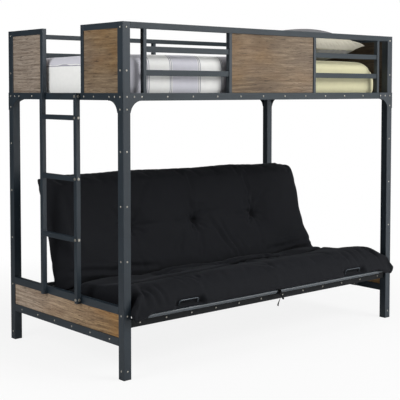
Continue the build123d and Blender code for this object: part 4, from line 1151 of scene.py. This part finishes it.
cream_top = two_sided((186, 181, 165), (140, 140, 143), LOWER_HEIGHTS[1] - COLOUR_DROP)
lower_pillow = pillow_mesh(
    "pillow_low", woven("lower_pillow_cloth", cream_top, thread=1600.0), (MID.x + 0.635, MID.y - 0.105),
    LOWER_HEIGHTS, plump=4.2, curl=0.024, press=(MID.y - 0.30, 0.46),
)
fill_pillow(lower_pillow, cap=0.010, seed=5, below=sheet, gap=0.0004)
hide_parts("lower_pillow")
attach(lower_pillow, "frame")

upper_pillow = pillow_mesh(
    "pillow_top", woven("upper_pillow_cloth", plain(118, 118, 121), thread=1600.0),
    (MID.x + 0.728, MID.y + 0.040), UPPER_HEIGHTS, plump=2.4, lean=(0.16, -0.16),
)
fill_pillow(upper_pillow, cap=0.008, seed=8, below=lower_pillow, gap=0.0006)
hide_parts("upper_pillow")
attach(upper_pillow, "frame")


# The tape that ties the futon to the seat's front tube. Each turn round the tube has its shift and
# slant along it, and each tail its reach along it, its drop, sway and twist
TURNS = ((-0.003, 0.004), (0.004, -0.003))
TURN_WIDTH, TURN_THICK = 0.014, 0.0013
KNOT_TILTS = (-0.7, 0.0, 0.7)
KNOT_WIDTH, TAIL_WIDTH, TAIL_THICK = 0.0085, 0.0105, 0.0014
TAILS = ((-0.012, 0.074, 0.004, 1.5), (0.026, 0.044, -0.004, -1.1))


def ribbon(path, width, thickness, across):
    """Points and faces of a flat tape along a path. across gives its width direction at each place."""
    points, faces = [], []
    count = len(path)
    for number, (place, wide) in enumerate(zip(path, across)):
        run = (path[min(number + 1, count - 1)] - path[max(number - 1, 0)]).normalized()
        wide = (wide - run * wide.dot(run)).normalized()
        out = run.cross(wide)
        for a, b in ((-1, -1), (1, -1), (1, 1), (-1, 1)):
            points.append(place + wide * (a * width / 2) + out * (b * thickness / 2))
    for number in range(count - 1):
        for k in range(4):
            a, b = number * 4 + k, number * 4 + (k + 1) % 4
            faces.append([a, b, b + 4, a + 4])
    faces.append([3, 2, 1, 0])
    faces.append([count * 4 - 4 + k for k in range(4)])
    return points, faces


def tape_tie(material):
    """Two turns round the tube, a knot in front of them and two tails."""
    low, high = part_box("seat_front_tube")
    middle = Vector((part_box("pad_tie")[0].x + 0.012, (low.y + high.y) / 2, (low.z + high.z) / 2))
    radius = (high.z - low.z) / 2 + 0.0014
    knot = middle + Vector((0.002, -radius - 0.0035, -0.004))
    round_tube = [math.radians(a) for a in np.linspace(-20, 340, 60)]
    round_knot = np.linspace(0, 2 * math.pi, 18)
    tapes = []
    for shift, slant in TURNS:
        out = radius + abs(shift) * 0.3
        turn = [
            middle + Vector((shift + slant * math.sin(a), -math.cos(a) * out, math.sin(a) * out))
            for a in round_tube
        ]
        wide = [Vector((1, 0.1 * math.cos(a), 0)) for a in round_tube]
        tapes.append(ribbon(turn, TURN_WIDTH, TURN_THICK, wide))
    for tilt in KNOT_TILTS:
        ring = [
            knot + Vector((0.0068 * math.sin(a), -0.0040 * math.cos(a), 0.0078 * math.sin(a + tilt)))
            for a in round_knot
        ]
        wide = [Vector((math.cos(a) * 0.5, 0.6, math.sin(a))) for a in round_knot]
        tapes.append(ribbon(ring, KNOT_WIDTH, TAIL_THICK, wide))
    for reach, drop, sway, twist in TAILS:
        tail, wide = [], []
        for t in np.linspace(0, 1, 22):
            along = reach * t**1.4 + sway * math.sin(6 * t)
            tail.append(knot + Vector((along, -0.006 * math.sin(3 * t) + 0.004 * t, -drop * t)))
            wide.append(Vector((math.cos(twist * t), math.sin(twist * t), 0.15)))
        tapes.append(ribbon(tail, TAIL_WIDTH, TAIL_THICK, wide))
    points, faces = [], []
    for tape_points, tape_faces in tapes:
        faces += [[k + len(points) for k in face] for face in tape_faces]
        points += tape_points
    return new_object("tape_tie", points, faces, material)


tie = tape_tie(woven("tape_cloth", plain(20, 20, 22), thread=2600.0, rough=0.75, sheen=0.05))
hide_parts("pad_tie")
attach(tie, "seat")

bpy.context.scene.view_settings.view_transform = "Standard"
